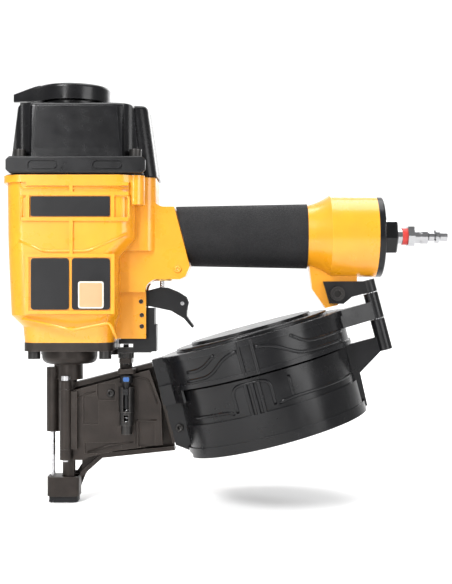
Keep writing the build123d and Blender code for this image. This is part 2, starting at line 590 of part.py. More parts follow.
# ================================================================ nose
def mag_point(u, w):
    """Side-view point at u along the canister's floor and w up its axis."""
    return (CAN_X + u * cos(radians(TILT)) - w * sin(radians(TILT)),
            CAN_Z + u * sin(radians(TILT)) + w * cos(radians(TILT)))


NOSE_REAR_LOW = mag_point(NOSE_REAR, 2)
NOSE_REAR_HIGH = mag_point(NOSE_REAR, 67)
CHANNEL_BACK = CHANNEL_HALF + FAR_WALL
ROOF_EDGE = -3.9
BARREL_TOP = 100.0
LATCH_X, LATCH_Y = 42.4, -15.0

with BuildPart() as nose_casting:
    with Locations((0, 0, (BARREL_END + BARREL_TOP) / 2)):
        Cylinder(BARREL_RADIUS, BARREL_TOP - BARREL_END)
    with Locations((0, 0, (NECK_BOTTOM + BARREL_TOP) / 2)):
        Cylinder(NECK_RADIUS, BARREL_TOP - NECK_BOTTOM)
    with BuildSketch(Plane.XY.offset(DISC_BOTTOM)):
        Circle(DISC_RADIUS)
    extrude(amount=CASE_BOTTOM - DISC_BOTTOM - 1)
    fillet(nose_casting.edges().filter_by(GeomType.CIRCLE).filter_by_position(Axis.Z, DISC_BOTTOM - 0.1,
                                                                              DISC_BOTTOM + 0.1)
           .sort_by(SortBy.RADIUS)[-1], 5)
    extrude(rounded_case(CASE_BOTTOM - FLANGE_THICK, FOOT_FRONT, FOOT_REAR, FOOT_HALF_WIDTH, 9),
            amount=FLANGE_THICK)
    # Far wall of the nail channel, with its roof and floor.
    with BuildSketch(side_at(CHANNEL_BACK)):
        with BuildLine():
            Polyline((-4, 29), (8.2, 29), (8.2, 17), (24, 31), NOSE_REAR_LOW, NOSE_REAR_HIGH,
                     (4, slope(4, CHANNEL_TOP + ROOF)), (-4, slope(4, CHANNEL_TOP + ROOF)), (-4, 29))
        make_face()
    extrude(amount=FAR_WALL)
    with BuildSketch(side_at(CHANNEL_BACK)):
        with BuildLine():
            Polyline((3, slope(3, CHANNEL_TOP)), mag_point(NOSE_REAR, 64), NOSE_REAR_HIGH,
                     (3, slope(3, CHANNEL_TOP + ROOF)), (3, slope(3, CHANNEL_TOP)))
        make_face()
        with BuildLine():
            Polyline((8.2, 17), (24, 31), NOSE_REAR_LOW, mag_point(NOSE_REAR, 5), (24, 34.5), (8.2, 21),
                     (8.2, 17))
        make_face()
    extrude(amount=CHANNEL_BACK - ROOF_EDGE)
    # Knuckles for the door pin, the rod guard at the front, and the catch for the door latch.
    for z0, z1 in ((31.4, 38.5), (81.2, 87.2)):
        with Locations((HINGE_X, HINGE_Y, (z0 + z1) / 2)):
            Cylinder(HINGE_RADIUS, z1 - z0)
        with Locations((HINGE_X - 0.5, (HINGE_Y - 3) / 2, (z0 + z1) / 2)):
            Box(6, -HINGE_Y - 3, z1 - z0)
    with Locations((ROD_X, 0, (GUARD_BOTTOM + GUARD_TOP) / 2)):
        Cylinder(GUARD_RADIUS, GUARD_TOP - GUARD_BOTTOM)
    with Locations((ROD_X + 5, 0, (GUARD_BOTTOM + 100) / 2)):
        Box(8, 4, 100 - GUARD_BOTTOM)
    with BuildSketch(Plane.XY.offset(92.6)):
        with Locations((LATCH_X, (LATCH_Y - 4 - 3) / 2)):
            RectangleRounded(12, -LATCH_Y + 4 - 3, 2)
    extrude(amount=3)
    with Locations((ROD_X, 0, (GUARD_BOTTOM + GUARD_TOP) / 2 - 2)):
        Cylinder(GUARD_RADIUS - 1.2, GUARD_TOP - GUARD_BOTTOM, mode=Mode.SUBTRACT)
    # Driver bore, hinge pin bores, bolt holes, and the barrel's opening to the channel.
    with Locations((0, 0, 62)):
        Cylinder(NOSE_BORE, 120, mode=Mode.SUBTRACT)
    with Locations((6, 0.05, 48)):
        Box(12, 2 * CHANNEL_HALF, 66, mode=Mode.SUBTRACT)
    with Locations((HINGE_X, HINGE_Y, 60)):
        Cylinder(HINGE_PIN, 70, mode=Mode.SUBTRACT)
    with Locations(*[(x, y, CASE_BOTTOM - 3) for x, y in NOSE_BOLTS]):
        Cylinder(BOLT_RADIUS, 12, mode=Mode.SUBTRACT)
    # Slot for the feed pawl and screw holes for the feed cylinder.
    with Locations((32, CHANNEL_BACK - 2, 62)):
        Box(26, 10, 12, mode=Mode.SUBTRACT)
save(nose_casting, "nose_casting")
nose_bolts = socket_bolts(NOSE_BOLTS, CASE_BOTTOM - FLANGE_THICK, NOSE_BOLT_DEPTH + FLANGE_THICK - 1, -1)
save(nose_bolts, "nose_bolts")

with BuildPart() as door_hinge_pin:
    with Locations((HINGE_X, HINGE_Y, (30 + 90) / 2)):
        Cylinder(HINGE_PIN, 60)
    with Locations((HINGE_X, HINGE_Y, 89)):
        Cylinder(HINGE_PIN + 1.2, 3)
save(door_hinge_pin, "door_hinge_pin")

DOOR_EDGE = [(3.6, 79.9), (57.8, slope(57.8, 79)), (66.3, 70.4), (67.3, 41.5), (34, 37), (14.4, 32.6),
             (11, 30.5),
             (3.6, 30.5), (3.6, 79.9)]
with BuildPart() as feed_door:
    with BuildSketch(side_at(DOOR_BACK)):
        with BuildLine():
            Polyline(*DOOR_EDGE)
        make_face()
    extrude(amount=DOOR_BACK - DOOR_FRONT)
    with Locations((HINGE_X, HINGE_Y, (38.9 + 80.8) / 2)):
        Cylinder(HINGE_RADIUS, 80.8 - 38.9)
    with Locations((HINGE_X + 4, HINGE_Y + 1.2, (38.9 + 79.5) / 2)):
        Box(8, 4.5, 79.5 - 38.9)
    with Locations((HINGE_X, HINGE_Y, 60)):
        Cylinder(HINGE_PIN + RUN, 60, mode=Mode.SUBTRACT)
    # Pockets and steps in the face.
    with Locations((56, DOOR_FRONT, 49)):
        Box(12, 4, 18, mode=Mode.SUBTRACT)
    with Locations((27.5, DOOR_FRONT, 79)):
        Box(13, 3, 12, mode=Mode.SUBTRACT)
    with Locations((25, DOOR_FRONT, 39)):
        Box(26, 2, 8, mode=Mode.SUBTRACT)
    with Locations((16.5, DOOR_FRONT, 66)):
        Box(11, 2, 20, mode=Mode.SUBTRACT)
save(feed_door, "feed_door")

LATCH_STEPS = ((5.7, 65.4, 83.0), (5.0, 56.0, 65.4), (3.9, 49.7, 56.0))
LATCH_BORE = 3.0
with BuildPart() as latch_barrel:
    for radius, z0, z1 in LATCH_STEPS:
        with Locations((LATCH_X, LATCH_Y, (z0 + z1) / 2)):
            Cylinder(radius, z1 - z0)
    split(bisect_by=Plane.XZ.offset(-DOOR_FRONT + SEAT), keep=Keep.TOP)
    with Locations((LATCH_X, LATCH_Y, 68)):
        Cylinder(LATCH_BORE + RUN, 34, mode=Mode.SUBTRACT)
    with Locations((LATCH_X, LATCH_Y - 5, 75)):
        Box(4.2, 10, 18, mode=Mode.SUBTRACT)
    with Locations((LATCH_X, LATCH_Y - 5, 61)):
        Box(3.4, 10, 5, mode=Mode.SUBTRACT)
save(latch_barrel, "latch_barrel")

with BuildPart() as door_latch:
    with Locations((LATCH_X, LATCH_Y, 77)):
        Cylinder(LATCH_BORE, 18)
    with Locations((LATCH_X, LATCH_Y, 88.6)):
        Cylinder(4.6, 5.2)
    with Locations((LATCH_X, LATCH_Y - 5, 80)):
        Box(3.2, 6, 4)
save(door_latch, "door_latch")
latch_spring = spring(2.3, 0.45, 51.2, 67.8, 6, Plane((LATCH_X, LATCH_Y, 0)))
save(latch_spring, "latch_spring")

# ================================================================ contact trip
with BuildPart() as contact_tip:
    with BuildSketch(Plane.XY.offset(PAD)):
        with Locations(((TIP_REAR + TIP_FRONT) / 2, 0)):
            RectangleRounded(TIP_REAR - TIP_FRONT, 2 * TIP_HALF_WIDTH, 4)
    extrude(amount=TIP_TOP - PAD)
    with BuildSketch(Plane.XY.offset(TIP_TOP)):
        Circle(BARREL_RADIUS + GAP)
        with Locations((3, 0)):
            Rectangle(7, 2 * (BARREL_RADIUS + GAP))
    extrude(amount=-(TIP_TOP - PAD), mode=Mode.SUBTRACT)
    with Locations((ROD_X, 0, TIP_TOP)):
        Cylinder(ROD_RADIUS, 20, mode=Mode.SUBTRACT)
    with Locations((0, TIP_HALF_WIDTH, 12)):
        Cylinder(1.5, 8, rotation=(90, 0, 0), mode=Mode.SUBTRACT)
save(contact_tip, "contact_tip")

with BuildPart() as nose_pad:
    with BuildSketch(Plane.XY):
        with Locations(((TIP_REAR + TIP_FRONT) / 2, 0)):
            RectangleRounded(TIP_REAR - TIP_FRONT - 2.2, 2 * TIP_HALF_WIDTH - 3, 3)
        Circle(BARREL_RADIUS + GAP, mode=Mode.SUBTRACT)
    extrude(amount=PAD - 0.02)
    with Locations(((TIP_REAR + TIP_FRONT) / 2 - 7.5, 0, 0)):
        Box(1.2, 30, 2, mode=Mode.SUBTRACT)
save(nose_pad, "nose_pad")

with BuildPart() as trip_rod:
    with Locations((ROD_X, 0, (8.2 + 83) / 2)):
        Cylinder(ROD_RADIUS, 83 - 8.2)
    with Locations((ROD_X, 0, 51.2)):
        Cylinder(GUARD_RADIUS - 1.2 - RUN, 2.4)
save(trip_rod, "trip_rod")
trip_spring = spring(2.4, 0.45, 52.5, 93.9, 12, Plane((ROD_X, 0, 0)))
save(trip_spring, "trip_spring")

ARM_IN = CHANNEL_BACK + GAP
ARM_OUT = ARM_IN + 2.4
with BuildPart() as contact_arm:
    with BuildSketch(side_at(ARM_OUT)):
        with BuildLine():
            Polyline((-6, 7), (6, 7), (10, 17), (17, 27), (17, 50), (36, 80), (44, 86), (44, 102.3),
                     (35, 102.3), (35, 90),
                     (10, 52), (10, 29), (4, 20), (-6, 18), (-6, 7))
        make_face()
    extrude(amount=ARM_OUT - ARM_IN)
    with BuildSketch(Plane.XY.offset(98.9)):
        with Locations((SCREW_X, (ARM_OUT - 6) / 2)):
            RectangleRounded(9, ARM_OUT + 6, 1.5)
    extrude(amount=102.3 - 98.9)
    with Locations((SCREW_X, 0, 100)):
        Cylinder(2, 10, mode=Mode.SUBTRACT)
    with Locations((0, TIP_HALF_WIDTH, 12)):
        Cylinder(1.5, 8, rotation=(90, 0, 0), mode=Mode.SUBTRACT)
save(contact_arm, "contact_arm")

with BuildPart() as arm_screw:
    with Locations((0, ARM_OUT + 1, 12)):
        Cylinder(2.8, 2, rotation=(90, 0, 0))
    with Locations((0, (ARM_OUT + 6.5) / 2, 12)):
        Cylinder(1.5, ARM_OUT - 6.5, rotation=(90, 0, 0))
save(arm_screw, "arm_screw")

with BuildPart() as depth_wheel:
    with BuildSketch(Plane.XY.offset(WHEEL_BOTTOM)):
        with Locations((SCREW_X, 0)):
            Circle(WHEEL_RADIUS)
            with PolarLocations(WHEEL_RADIUS + 0.3, 16):
                Circle(0.7, mode=Mode.SUBTRACT)
            Circle(2 + RUN, mode=Mode.SUBTRACT)
    extrude(amount=WHEEL_THICK)
save(depth_wheel, "depth_wheel")

with BuildPart() as depth_screw:
    with Locations((SCREW_X, 0, (97.5 + 112.4) / 2)):
        Cylinder(2, 112.4 - 97.5)
save(depth_screw, "depth_screw")

with BuildPart() as upper_trip_arm:
    with Locations(((35 + 59) / 2, 0, WHEEL_BOTTOM + WHEEL_THICK + 2.2)):
        Box(59 - 35, 11, 3.6)
    with Locations((57.5, 0, (108 + ARM_TOP) / 2)):
        Box(3, 5, ARM_TOP - 108)
    with Locations((SCREW_X, 0, 110)):
        Cylinder(2, 10, mode=Mode.SUBTRACT)
save(upper_trip_arm, "upper_trip_arm")

with BuildPart() as trip_arm_guide:
    with Locations(((47 + 61.5) / 2, 0, (123.4 + 138.6) / 2)):
        Box(61.5 - 47, 2 * (SLOT_HALF - SEAT), 138.6 - 123.4)
    with Locations(((36 + 62.8) / 2, 0, (113 + 116.4) / 2)):
        Box(62.8 - 36, 2 * (SLOT_HALF - SEAT), 116.4 - 113)
    with Locations(((46.2 + 62.8) / 2, 0, (107.6 + 116.4) / 2)):
        Box(62.8 - 46.2, 2 * (SLOT_HALF - SEAT), 116.4 - 107.6)
    with Locations(((54 + 62.8) / 2, 0, (107.6 + 127) / 2)):
        Box(62.8 - 54, 2 * (SLOT_HALF - SEAT), 127 - 107.6)
    with Locations(((33 + 60) / 2, 0, (100 + 123.4) / 2)):
        Box(60 - 33, 12.2, 123.4 - 100, mode=Mode.SUBTRACT)
    with Locations((57.5, 0, 125)):
        Box(3.8, 5.8, 40, mode=Mode.SUBTRACT)
    for x, z in EAR_PINS[1:]:
        with Locations((x, 0, z)):
            Cylinder(TRIGGER_PIN, 30, rotation=(90, 0, 0), mode=Mode.SUBTRACT)
save(trip_arm_guide, "trip_arm_guide")

# ================================================================ trigger group
with BuildPart() as trigger:
    with BuildSketch(side_at(TRIGGER_HALF)):
        with BuildLine():
            Polyline((PIVOT_X + 1, PIVOT_Z + 3.4), (56.5, 151), (65.5, 153.4), (70.4, 153.2), (78.3, 150),
                     (84, 146.4),
                     (85.6, 142.5), (84.7, 138.0), (84.5, 132.8), (89.7, 125.4), (88.3, 124.3), (82.6, 131.0),
                     (73.3, 136.6), (58.8, 139.7), (PIVOT_X + 1, PIVOT_Z - 3.4), (PIVOT_X + 1, PIVOT_Z + 3.4))
        make_face()
        with Locations((PIVOT_X, PIVOT_Z)):
            Circle(3.4)
    extrude(amount=2 * TRIGGER_HALF)
    with BuildSketch(side_at(TRIGGER_HALF - PLATE)):
        with BuildLine():
            Polyline((46, 160), (86, 160), (86, 139), (82.6, 134.5), (73.3, 138.6), (62, 141.2), (62, 136),
                     (46, 136), (46, 160))
        make_face()
    extrude(amount=2 * (TRIGGER_HALF - PLATE), mode=Mode.SUBTRACT)
    with Locations((PIVOT_X, 0, PIVOT_Z)):
        Cylinder(TRIGGER_PIN + RUN, 40, rotation=(90, 0, 0), mode=Mode.SUBTRACT)
    with Locations((LEVER_X, 0, LEVER_Z)):
        Cylinder(LEVER_PIN, 40, rotation=(90, 0, 0), mode=Mode.SUBTRACT)
save(trigger, "trigger")

with BuildPart() as trigger_lever:
    with BuildSketch(side_at(LEVER_HALF)):
        with BuildLine():
            Polyline((55.4, 142.4), (LEVER_X, 140.6), (LEVER_X, 144.4), (70, 145.4), (55.4, 144.6),
                     (55.4, 142.4))
        make_face()
        with Locations((LEVER_X, LEVER_Z)):
            Circle(2.7)
    extrude(amount=2 * LEVER_HALF)
    with Locations((LEVER_X, 0, LEVER_Z)):
        Cylinder(LEVER_PIN + RUN, 20, rotation=(90, 0, 0), mode=Mode.SUBTRACT)
save(trigger_lever, "trigger_lever")

with BuildPart() as trigger_lever_pin:
    with Locations((LEVER_X, 0, LEVER_Z)):
        Cylinder(LEVER_PIN, 2 * TRIGGER_HALF, rotation=(90, 0, 0))
save(trigger_lever_pin, "trigger_lever_pin")

with BuildPart() as trigger_pivot_pin:
    with Locations((PIVOT_X, 0, PIVOT_Z)):
        Cylinder(TRIGGER_PIN, 2 * EAR_HALF + 0.6, rotation=(90, 0, 0))
save(trigger_pivot_pin, "trigger_pivot_pin")

with BuildPart() as guide_pins:
    with Locations(*[(x, 0, z) for x, z in EAR_PINS[1:]]):
        Cylinder(TRIGGER_PIN, 2 * EAR_HALF + 0.6, rotation=(90, 0, 0))
save(guide_pins, "guide_pins")

trigger_spring = spring(2.6, 0.3, LEVER_HALF + GAP, TRIGGER_HALF - PLATE - 0.2, 2,
                        Plane(origin=(PIVOT_X, 0, PIVOT_Z), z_dir=(0, 1, 0)))
save(trigger_spring, "trigger_spring")

with BuildPart() as valve_body:
    with Locations((VALVE_X, 0, ROOT_BOTTOM + 10)):
        Cylinder(VALVE_RADIUS, 22)
    with Locations((VALVE_X, 0, ROOT_BOTTOM + 8)):
        Cylinder(STEM_RADIUS + RUN, 30, mode=Mode.SUBTRACT)
    with Locations((VALVE_X, 0, ROOT_BOTTOM + 13)):
        Cylinder(4.4, 18, mode=Mode.SUBTRACT)
save(valve_body, "valve_body")

with BuildPart() as valve_stem:
    with Locations((VALVE_X, 0, (STEM_BOTTOM + 170) / 2)):
        Cylinder(STEM_RADIUS, 170 - STEM_BOTTOM)
    with Locations((VALVE_X, 0, 164.6)):
        Cylinder(4.4 - RUN, 2.4)
save(valve_stem, "valve_stem")
valve_spring = spring(2.9, 0.4, 165.9, 179.9, 5, Plane((VALVE_X, 0, 0)))
save(valve_spring, "valve_spring")

with BuildPart() as valve_retainer:
    with Locations((VALVE_X, 0, ROOT_BOTTOM + 21.6)):
        Cylinder(VALVE_RADIUS, 1.0)
        Cylinder(2.3, 3, mode=Mode.SUBTRACT)
save(valve_retainer, "valve_retainer")

# ================================================================ rear cap and plug
REAR = Plane(origin=(BELL_END, 0, HANDLE_Z), x_dir=(0, 1, 0), z_dir=(1, 0, 0))
PLUG_START = BELL_END + REAR_CAP_THICK + REAR_HEX_LENGTH - 4
with BuildPart() as rear_cap:
    with BuildSketch(REAR):
        Circle(BELL_RADIUS)
    extrude(amount=REAR_CAP_THICK)
    fillet(rear_cap.edges().group_by(Axis.X)[-1], 1.2)
    with BuildSketch(REAR):
        Circle(BELL_RADIUS - BELL_WALL - SEAT)
    extrude(amount=-6)
    with BuildSketch(REAR.offset(-4)):
        Circle(BELL_RADIUS)
        Circle(BELL_RADIUS - BELL_WALL - 2.12, mode=Mode.SUBTRACT)
    extrude(amount=2, mode=Mode.SUBTRACT)
    with BuildSketch(REAR.offset(REAR_CAP_THICK - 1)):
        RegularPolygon(REAR_HEX / 2, 6, major_radius=False, rotation=8)
    extrude(amount=REAR_HEX_LENGTH - 3)
    chamfer(rear_cap.edges().group_by(Axis.X)[-1], 0.8)
    with BuildSketch(REAR.offset(-8)):
        Circle(5.5)
    extrude(amount=60, mode=Mode.SUBTRACT)
save(rear_cap, "rear_cap")

with BuildPart() as rear_cap_ring:
    with Locations(REAR.offset(-3)):
        Torus(BELL_RADIUS - BELL_WALL - 1.2, 0.9)
save(rear_cap_ring, "rear_cap_ring")

THREAD_END = PLUG_START + 8.2
with BuildPart() as air_plug:
    with BuildSketch(SIDE):
        with BuildLine():
            Polyline((PLUG_START - 8, HANDLE_Z + AIR_BORE), (PLUG_START - 8, HANDLE_Z + 5.3),
                     (THREAD_END, HANDLE_Z + 5.3), (THREAD_END, HANDLE_Z + 5.0), (THREAD_END + 8.6,
                                                                                  HANDLE_Z + 5.0),
                     (THREAD_END + 10.0, HANDLE_Z + 5.4), (THREAD_END + 14.0, HANDLE_Z + 5.4),
                     (THREAD_END + 15.4, HANDLE_Z + 3.5), (THREAD_END + 18.8, HANDLE_Z + 3.5),
                     (THREAD_END + 20.0, HANDLE_Z + 5.0), (THREAD_END + 22.0, HANDLE_Z + 5.0),
                     (THREAD_END + 23.4, HANDLE_Z + 3.7), (THREAD_END + 28.4, HANDLE_Z + 3.7),
                     (THREAD_END + 28.4, HANDLE_Z + AIR_BORE), (PLUG_START - 8, HANDLE_Z + AIR_BORE))
        make_face()
    revolve(axis=Axis((0, 0, HANDLE_Z), (1, 0, 0)))
    with BuildSketch(Plane(origin=(THREAD_END, 0, HANDLE_Z), x_dir=(0, 1, 0), z_dir=(1, 0, 0))):
        RegularPolygon(7.0, 6, major_radius=False)
        Circle(4.5, mode=Mode.SUBTRACT)
    extrude(amount=4.5)
save(air_plug, "air_plug")

with BuildPart() as thread_seal:
    with BuildSketch(Plane(origin=(PLUG_START + 4.2, 0, HANDLE_Z), x_dir=(0, 1, 0), z_dir=(1, 0, 0))):
        Circle(6.0)
        Circle(5.32, mode=Mode.SUBTRACT)
    extrude(amount=THREAD_END - PLUG_START - 4.3)
save(thread_seal, "thread_seal")

# ================================================================ magazine
WALL_INNER = CAN_RADIUS - CAN_WALL
NECK_FRONT = -73.0
NEAR_NECK = DOOR_BACK
SKIRT_INNER = CAN_RADIUS + COVER_GAP
SKIRT_OUTER = SKIRT_INNER + COVER_WALL
NECK_REAR = -(CAN_RADIUS - 4.5)  # where the neck runs into the canister's wall
HINGE_ARM_LOW, HINGE_ARM_HIGH = 56.2, 74.8
KNUCKLE_LOW, KNUCKLE_MID, KNUCKLE_TOP = 43.0, 55.7, 84.2


def level(w):
    """The plane across the canister's axis, w above its floor."""
    return MAG.offset(w)


def rim_point(radius, angle):
    """A point on a level plane, at a radius and an angle from the rear of the canister."""
    return radius * cos(radians(angle)), radius * sin(radians(angle))


with BuildPart() as canister:
    with BuildSketch(level(-2.4)):
        Circle(CAN_RIM)
    extrude(amount=2.4)
    with BuildSketch(level(-4)):
        Circle(CAN_RIM + 0.6)
        Circle(CAN_RIM - 2.4, mode=Mode.SUBTRACT)
    extrude(amount=7)
    with BuildSketch(level(-1)):
        Circle(CAN_RADIUS)
        Circle(WALL_INNER, mode=Mode.SUBTRACT)
    extrude(amount=BAND_LOW - 0.4)
    # The far wall goes up to the cover; the near one stops below its skirt.
    with BuildSketch(level(BAND_LOW - 2)):
        Circle(CAN_RADIUS)
        Circle(WALL_INNER, mode=Mode.SUBTRACT)
        with Locations((0, -CAN_RADIUS + 0.8)):
            Rectangle(4 * CAN_RADIUS, 2 * CAN_RADIUS, mode=Mode.SUBTRACT)
    extrude(amount=BAND_HIGH - BAND_LOW)
    # Neck to the nose: far wall, near wall and floor.
    with BuildSketch(level(-2.4)):
        with Locations(((NECK_FRONT + NECK_REAR) / 2, CHANNEL_HALF + 2.5)):
            Rectangle(NECK_REAR - NECK_FRONT, 5)
    extrude(amount=BAND_HIGH - 0.6)
    with BuildSketch(level(-2.4)):
        with Locations(((NECK_FRONT + NECK_REAR) / 2, NEAR_NECK - 2.5)):
            Rectangle(NECK_REAR - NECK_FRONT, 5)
    extrude(amount=BAND_LOW + 1.6)
    with BuildSketch(level(-2.4)):
        with Locations(((NECK_FRONT + NECK_REAR) / 2, 0)):
            Rectangle(NECK_REAR - NECK_FRONT, 12)
    extrude(amount=2.4)
    # The neck's lower corner is cut off towards the nose.
    with BuildSketch(side_at(20)):
        with BuildLine():
            Polyline(mag_point(NECK_FRONT - 1, 7), mag_point(NECK_FRONT - 1, -6),
                     mag_point(NECK_REAR - 3, -6),
                     mag_point(NECK_REAR - 3, -2.4), mag_point(NECK_FRONT - 1, 7))
        make_face()
    extrude(amount=40, mode=Mode.SUBTRACT)
    # Opening for the nail strip.
    with BuildSketch(level(0)):
        with Locations((-62, (CHANNEL_HALF + NEAR_NECK) / 2)):
            Rectangle(30, CHANNEL_HALF - NEAR_NECK)
    extrude(amount=90, mode=Mode.SUBTRACT)
    # Raised band, finger recess with ribs, and the divider on the near side.
    with BuildSketch(level(2)):
        Circle(CAN_RADIUS + 2.2)
        Circle(CAN_RADIUS - 0.5, mode=Mode.SUBTRACT)
        with Locations((0, CAN_RADIUS)):
            Rectangle(4 * CAN_RADIUS, 2.6 * CAN_RADIUS, mode=Mode.SUBTRACT)
    extrude(amount=17)
    for angle in (-103, -99, -95):
        with BuildSketch(level(19)):
            with Locations(rim_point(CAN_RADIUS + 0.8, angle)):
                Circle(1.3)
        extrude(amount=21)
    # Rear rib and the lower hinge knuckle.
    with BuildSketch(side_at(COVER_HINGE_Y + 3)):
        with BuildLine():
            Polyline(mag_point(CAN_RADIUS - 1.5, -2), mag_point(CAN_RADIUS + 3.5, -2),
                     mag_point(CAN_RADIUS + 4.5, 22),
                     mag_point(HINGE_U - 3, 33.5), mag_point(HINGE_U - 3, BAND_LOW - 1),
                     mag_point(CAN_RADIUS - 1.5, BAND_LOW - 1), mag_point(CAN_RADIUS - 1.5, -2))
        make_face()
    extrude(amount=6)
    with BuildSketch(level(KNUCKLE_LOW - 10)):
        with Locations((HINGE_U, COVER_HINGE_Y)):
            Circle(COVER_HINGE_RADIUS)
    extrude(amount=KNUCKLE_MID - KNUCKLE_LOW + 10)
    with BuildSketch(level(KNUCKLE_LOW - 11)):
        with Locations((HINGE_U, COVER_HINGE_Y)):
            Circle(COVER_PIN)
    extrude(amount=40, mode=Mode.SUBTRACT)
    # Screw hole of the centre post.
    with BuildSketch(level(-5)):
        Circle(2)
    extrude(amount=10, mode=Mode.SUBTRACT)
save(canister, "canister")

with BuildPart() as magazine_cover:
    with BuildSketch(level(BAND_HIGH - 1.5)):
        Circle(SKIRT_OUTER)
    extrude(amount=2.6)
    with BuildSketch(level(BAND_HIGH)):
        Circle(CAN_RADIUS - 6.5)
    extrude(amount=3.6)
    fillet(magazine_cover.edges().filter_by(GeomType.CIRCLE).sort_by(Axis.Z)[-1], 1.5)
    with BuildSketch(level(BAND_HIGH)):
        Circle(CAN_RADIUS - 18.5)
    extrude(amount=5.6)
    with BuildSketch(level(BAND_HIGH - 1.6)):
        Circle(CAN_RADIUS - 20.5)
    extrude(amount=5, mode=Mode.SUBTRACT)
    # Skirt on the near side.
    with BuildSketch(level(BAND_LOW + 0.3)):
        Circle(SKIRT_OUTER)
        Circle(SKIRT_INNER, mode=Mode.SUBTRACT)
        with Locations((0, 2 * CAN_RADIUS)):
            Rectangle(4 * CAN_RADIUS, 4 * CAN_RADIUS, mode=Mode.SUBTRACT)
    extrude(amount=BAND_HIGH - BAND_LOW - 1)
    for low, high in ((BAND_LOW + 0.3, BAND_LOW + 3.3), (BAND_HIGH - 3, BAND_HIGH + 1)):
        with BuildSketch(level(low)):
            Circle(SKIRT_OUTER + 1.2)
            Circle(SKIRT_INNER + 0.5, mode=Mode.SUBTRACT)
            with Locations((0, 2 * CAN_RADIUS - 1)):
                Rectangle(4 * CAN_RADIUS, 4 * CAN_RADIUS, mode=Mode.SUBTRACT)
        extrude(amount=high - low)
    # Tongue over the nail channel, with the tab that laps the neck.
    with BuildSketch(level(BAND_LOW + 0.3)):
        with BuildLine():
            Polyline((NECK_FRONT - 1, NEAR_NECK - 0.3), (NECK_FRONT - 1, NEAR_NECK - 5),
                     (0.5 - CAN_RADIUS, NEAR_NECK - 5.6),
                     rim_point(SKIRT_OUTER, -141.8), rim_point(SKIRT_INNER, -142.8),
                     (-CAN_RADIUS, NEAR_NECK - 0.3), (NECK_FRONT - 1, NEAR_NECK - 0.3))
        make_face()
    extrude(amount=BAND_HIGH - BAND_LOW + 0.8)
    with BuildSketch(level(BAND_HIGH - 1.5)):
        with BuildLine():
            Polyline((NECK_FRONT - 1, 7), (NECK_FRONT - 1, NEAR_NECK - 5), (-55, NEAR_NECK - 5), (-55, 7),
                     (NECK_FRONT - 1, 7))
        make_face()
    extrude(amount=2.6)
    with BuildSketch(level(BAND_LOW - 9)):
        with BuildLine():
            Polyline((NECK_FRONT - 1, NEAR_NECK - 5.4), (NECK_FRONT - 1, NEAR_NECK - 8.2),
                     (-SKIRT_OUTER + 1.4, NEAR_NECK - 13.2), rim_point(SKIRT_OUTER, -151.5),
                     rim_point(SKIRT_INNER + 0.8, -151.3), (-CAN_RADIUS, NEAR_NECK - 13),
                     (-CAN_RADIUS - 2, NEAR_NECK - 5.4),
                     (NECK_FRONT - 1, NEAR_NECK - 5.4))
        make_face()
    extrude(amount=14)
    # Divider rib, and the arm to the hinge.
    for angle in (-101, -93):
        with BuildSketch(level(BAND_LOW + 0.3)):
            with Locations(rim_point(SKIRT_OUTER + 0.3, angle)):
                Circle(1.4)
        extrude(amount=BAND_HIGH - BAND_LOW)
    with BuildSketch(level(HINGE_ARM_LOW)):
        with BuildLine():
            Polyline((SKIRT_INNER + 0.6, -2), (HINGE_U, -2.4), (HINGE_U, -10), (60, -22),
                     (SKIRT_INNER - 1, -12),
                     (SKIRT_INNER + 0.6, -2))
        make_face()
        with Locations((HINGE_U, COVER_HINGE_Y)):
            Circle(COVER_HINGE_RADIUS)
    extrude(amount=HINGE_ARM_HIGH - HINGE_ARM_LOW - 6)
    with BuildSketch(level(HINGE_ARM_LOW)):
        with Locations((HINGE_U, COVER_HINGE_Y)):
            Circle(COVER_HINGE_RADIUS)
    extrude(amount=HINGE_ARM_HIGH - HINGE_ARM_LOW)
    with BuildSketch(level(HINGE_ARM_LOW - 4)):
        with Locations((HINGE_U, COVER_HINGE_Y)):
            Circle(COVER_PIN + RUN)
    extrude(amount=30, mode=Mode.SUBTRACT)
save(magazine_cover, "magazine_cover")

with BuildPart() as magazine_bracket:
    bracket_y = -LEG_HALF_WIDTH - SEAT
    with BuildSketch(side_at(bracket_y)):
        with BuildLine():
            Polyline((181.5, 157.5), mag_point(HINGE_U + 3, KNUCKLE_TOP - 1.5),
                     mag_point(HINGE_U + 3, KNUCKLE_TOP - 8.6),
                     mag_point(HINGE_U - 14, KNUCKLE_TOP - 8.6), (196, 141.5), (186, 142), (181.5, 157.5))
        make_face()
    extrude(amount=3.6)
    with BuildSketch(level(KNUCKLE_TOP - 8.9)):
        with Locations((HINGE_U, COVER_HINGE_Y)):
            Circle(COVER_HINGE_RADIUS)
    extrude(amount=8.9)
    with BuildSketch(level(KNUCKLE_TOP - 8.9)):
        with Locations((HINGE_U, COVER_HINGE_Y)):
            Circle(COVER_PIN)
    extrude(amount=12, mode=Mode.SUBTRACT)
    with Locations((LEG_BOLT_X, 0, LEG_BOLT_Z)):
        Cylinder(LEG_BOLT_RADIUS, 40, rotation=(90, 0, 0), mode=Mode.SUBTRACT)
save(magazine_bracket, "magazine_bracket")

with BuildPart() as bracket_bolt:
    with Locations((LEG_BOLT_X, bracket_y - 3.6 - 2.2, LEG_BOLT_Z)):
        Cylinder(5.0, 4.4, rotation=(90, 0, 0))
    with Locations((LEG_BOLT_X, -1, LEG_BOLT_Z)):
        Cylinder(LEG_BOLT_RADIUS, 2 * (-bracket_y + 3.6) - 2, rotation=(90, 0, 0))
    with BuildSketch(side_at(bracket_y - 8.0)):
        with Locations((LEG_BOLT_X, LEG_BOLT_Z)):
            RegularPolygon(2.9, 6)
    extrude(amount=-2.4, mode=Mode.SUBTRACT)
save(bracket_bolt, "bracket_bolt")

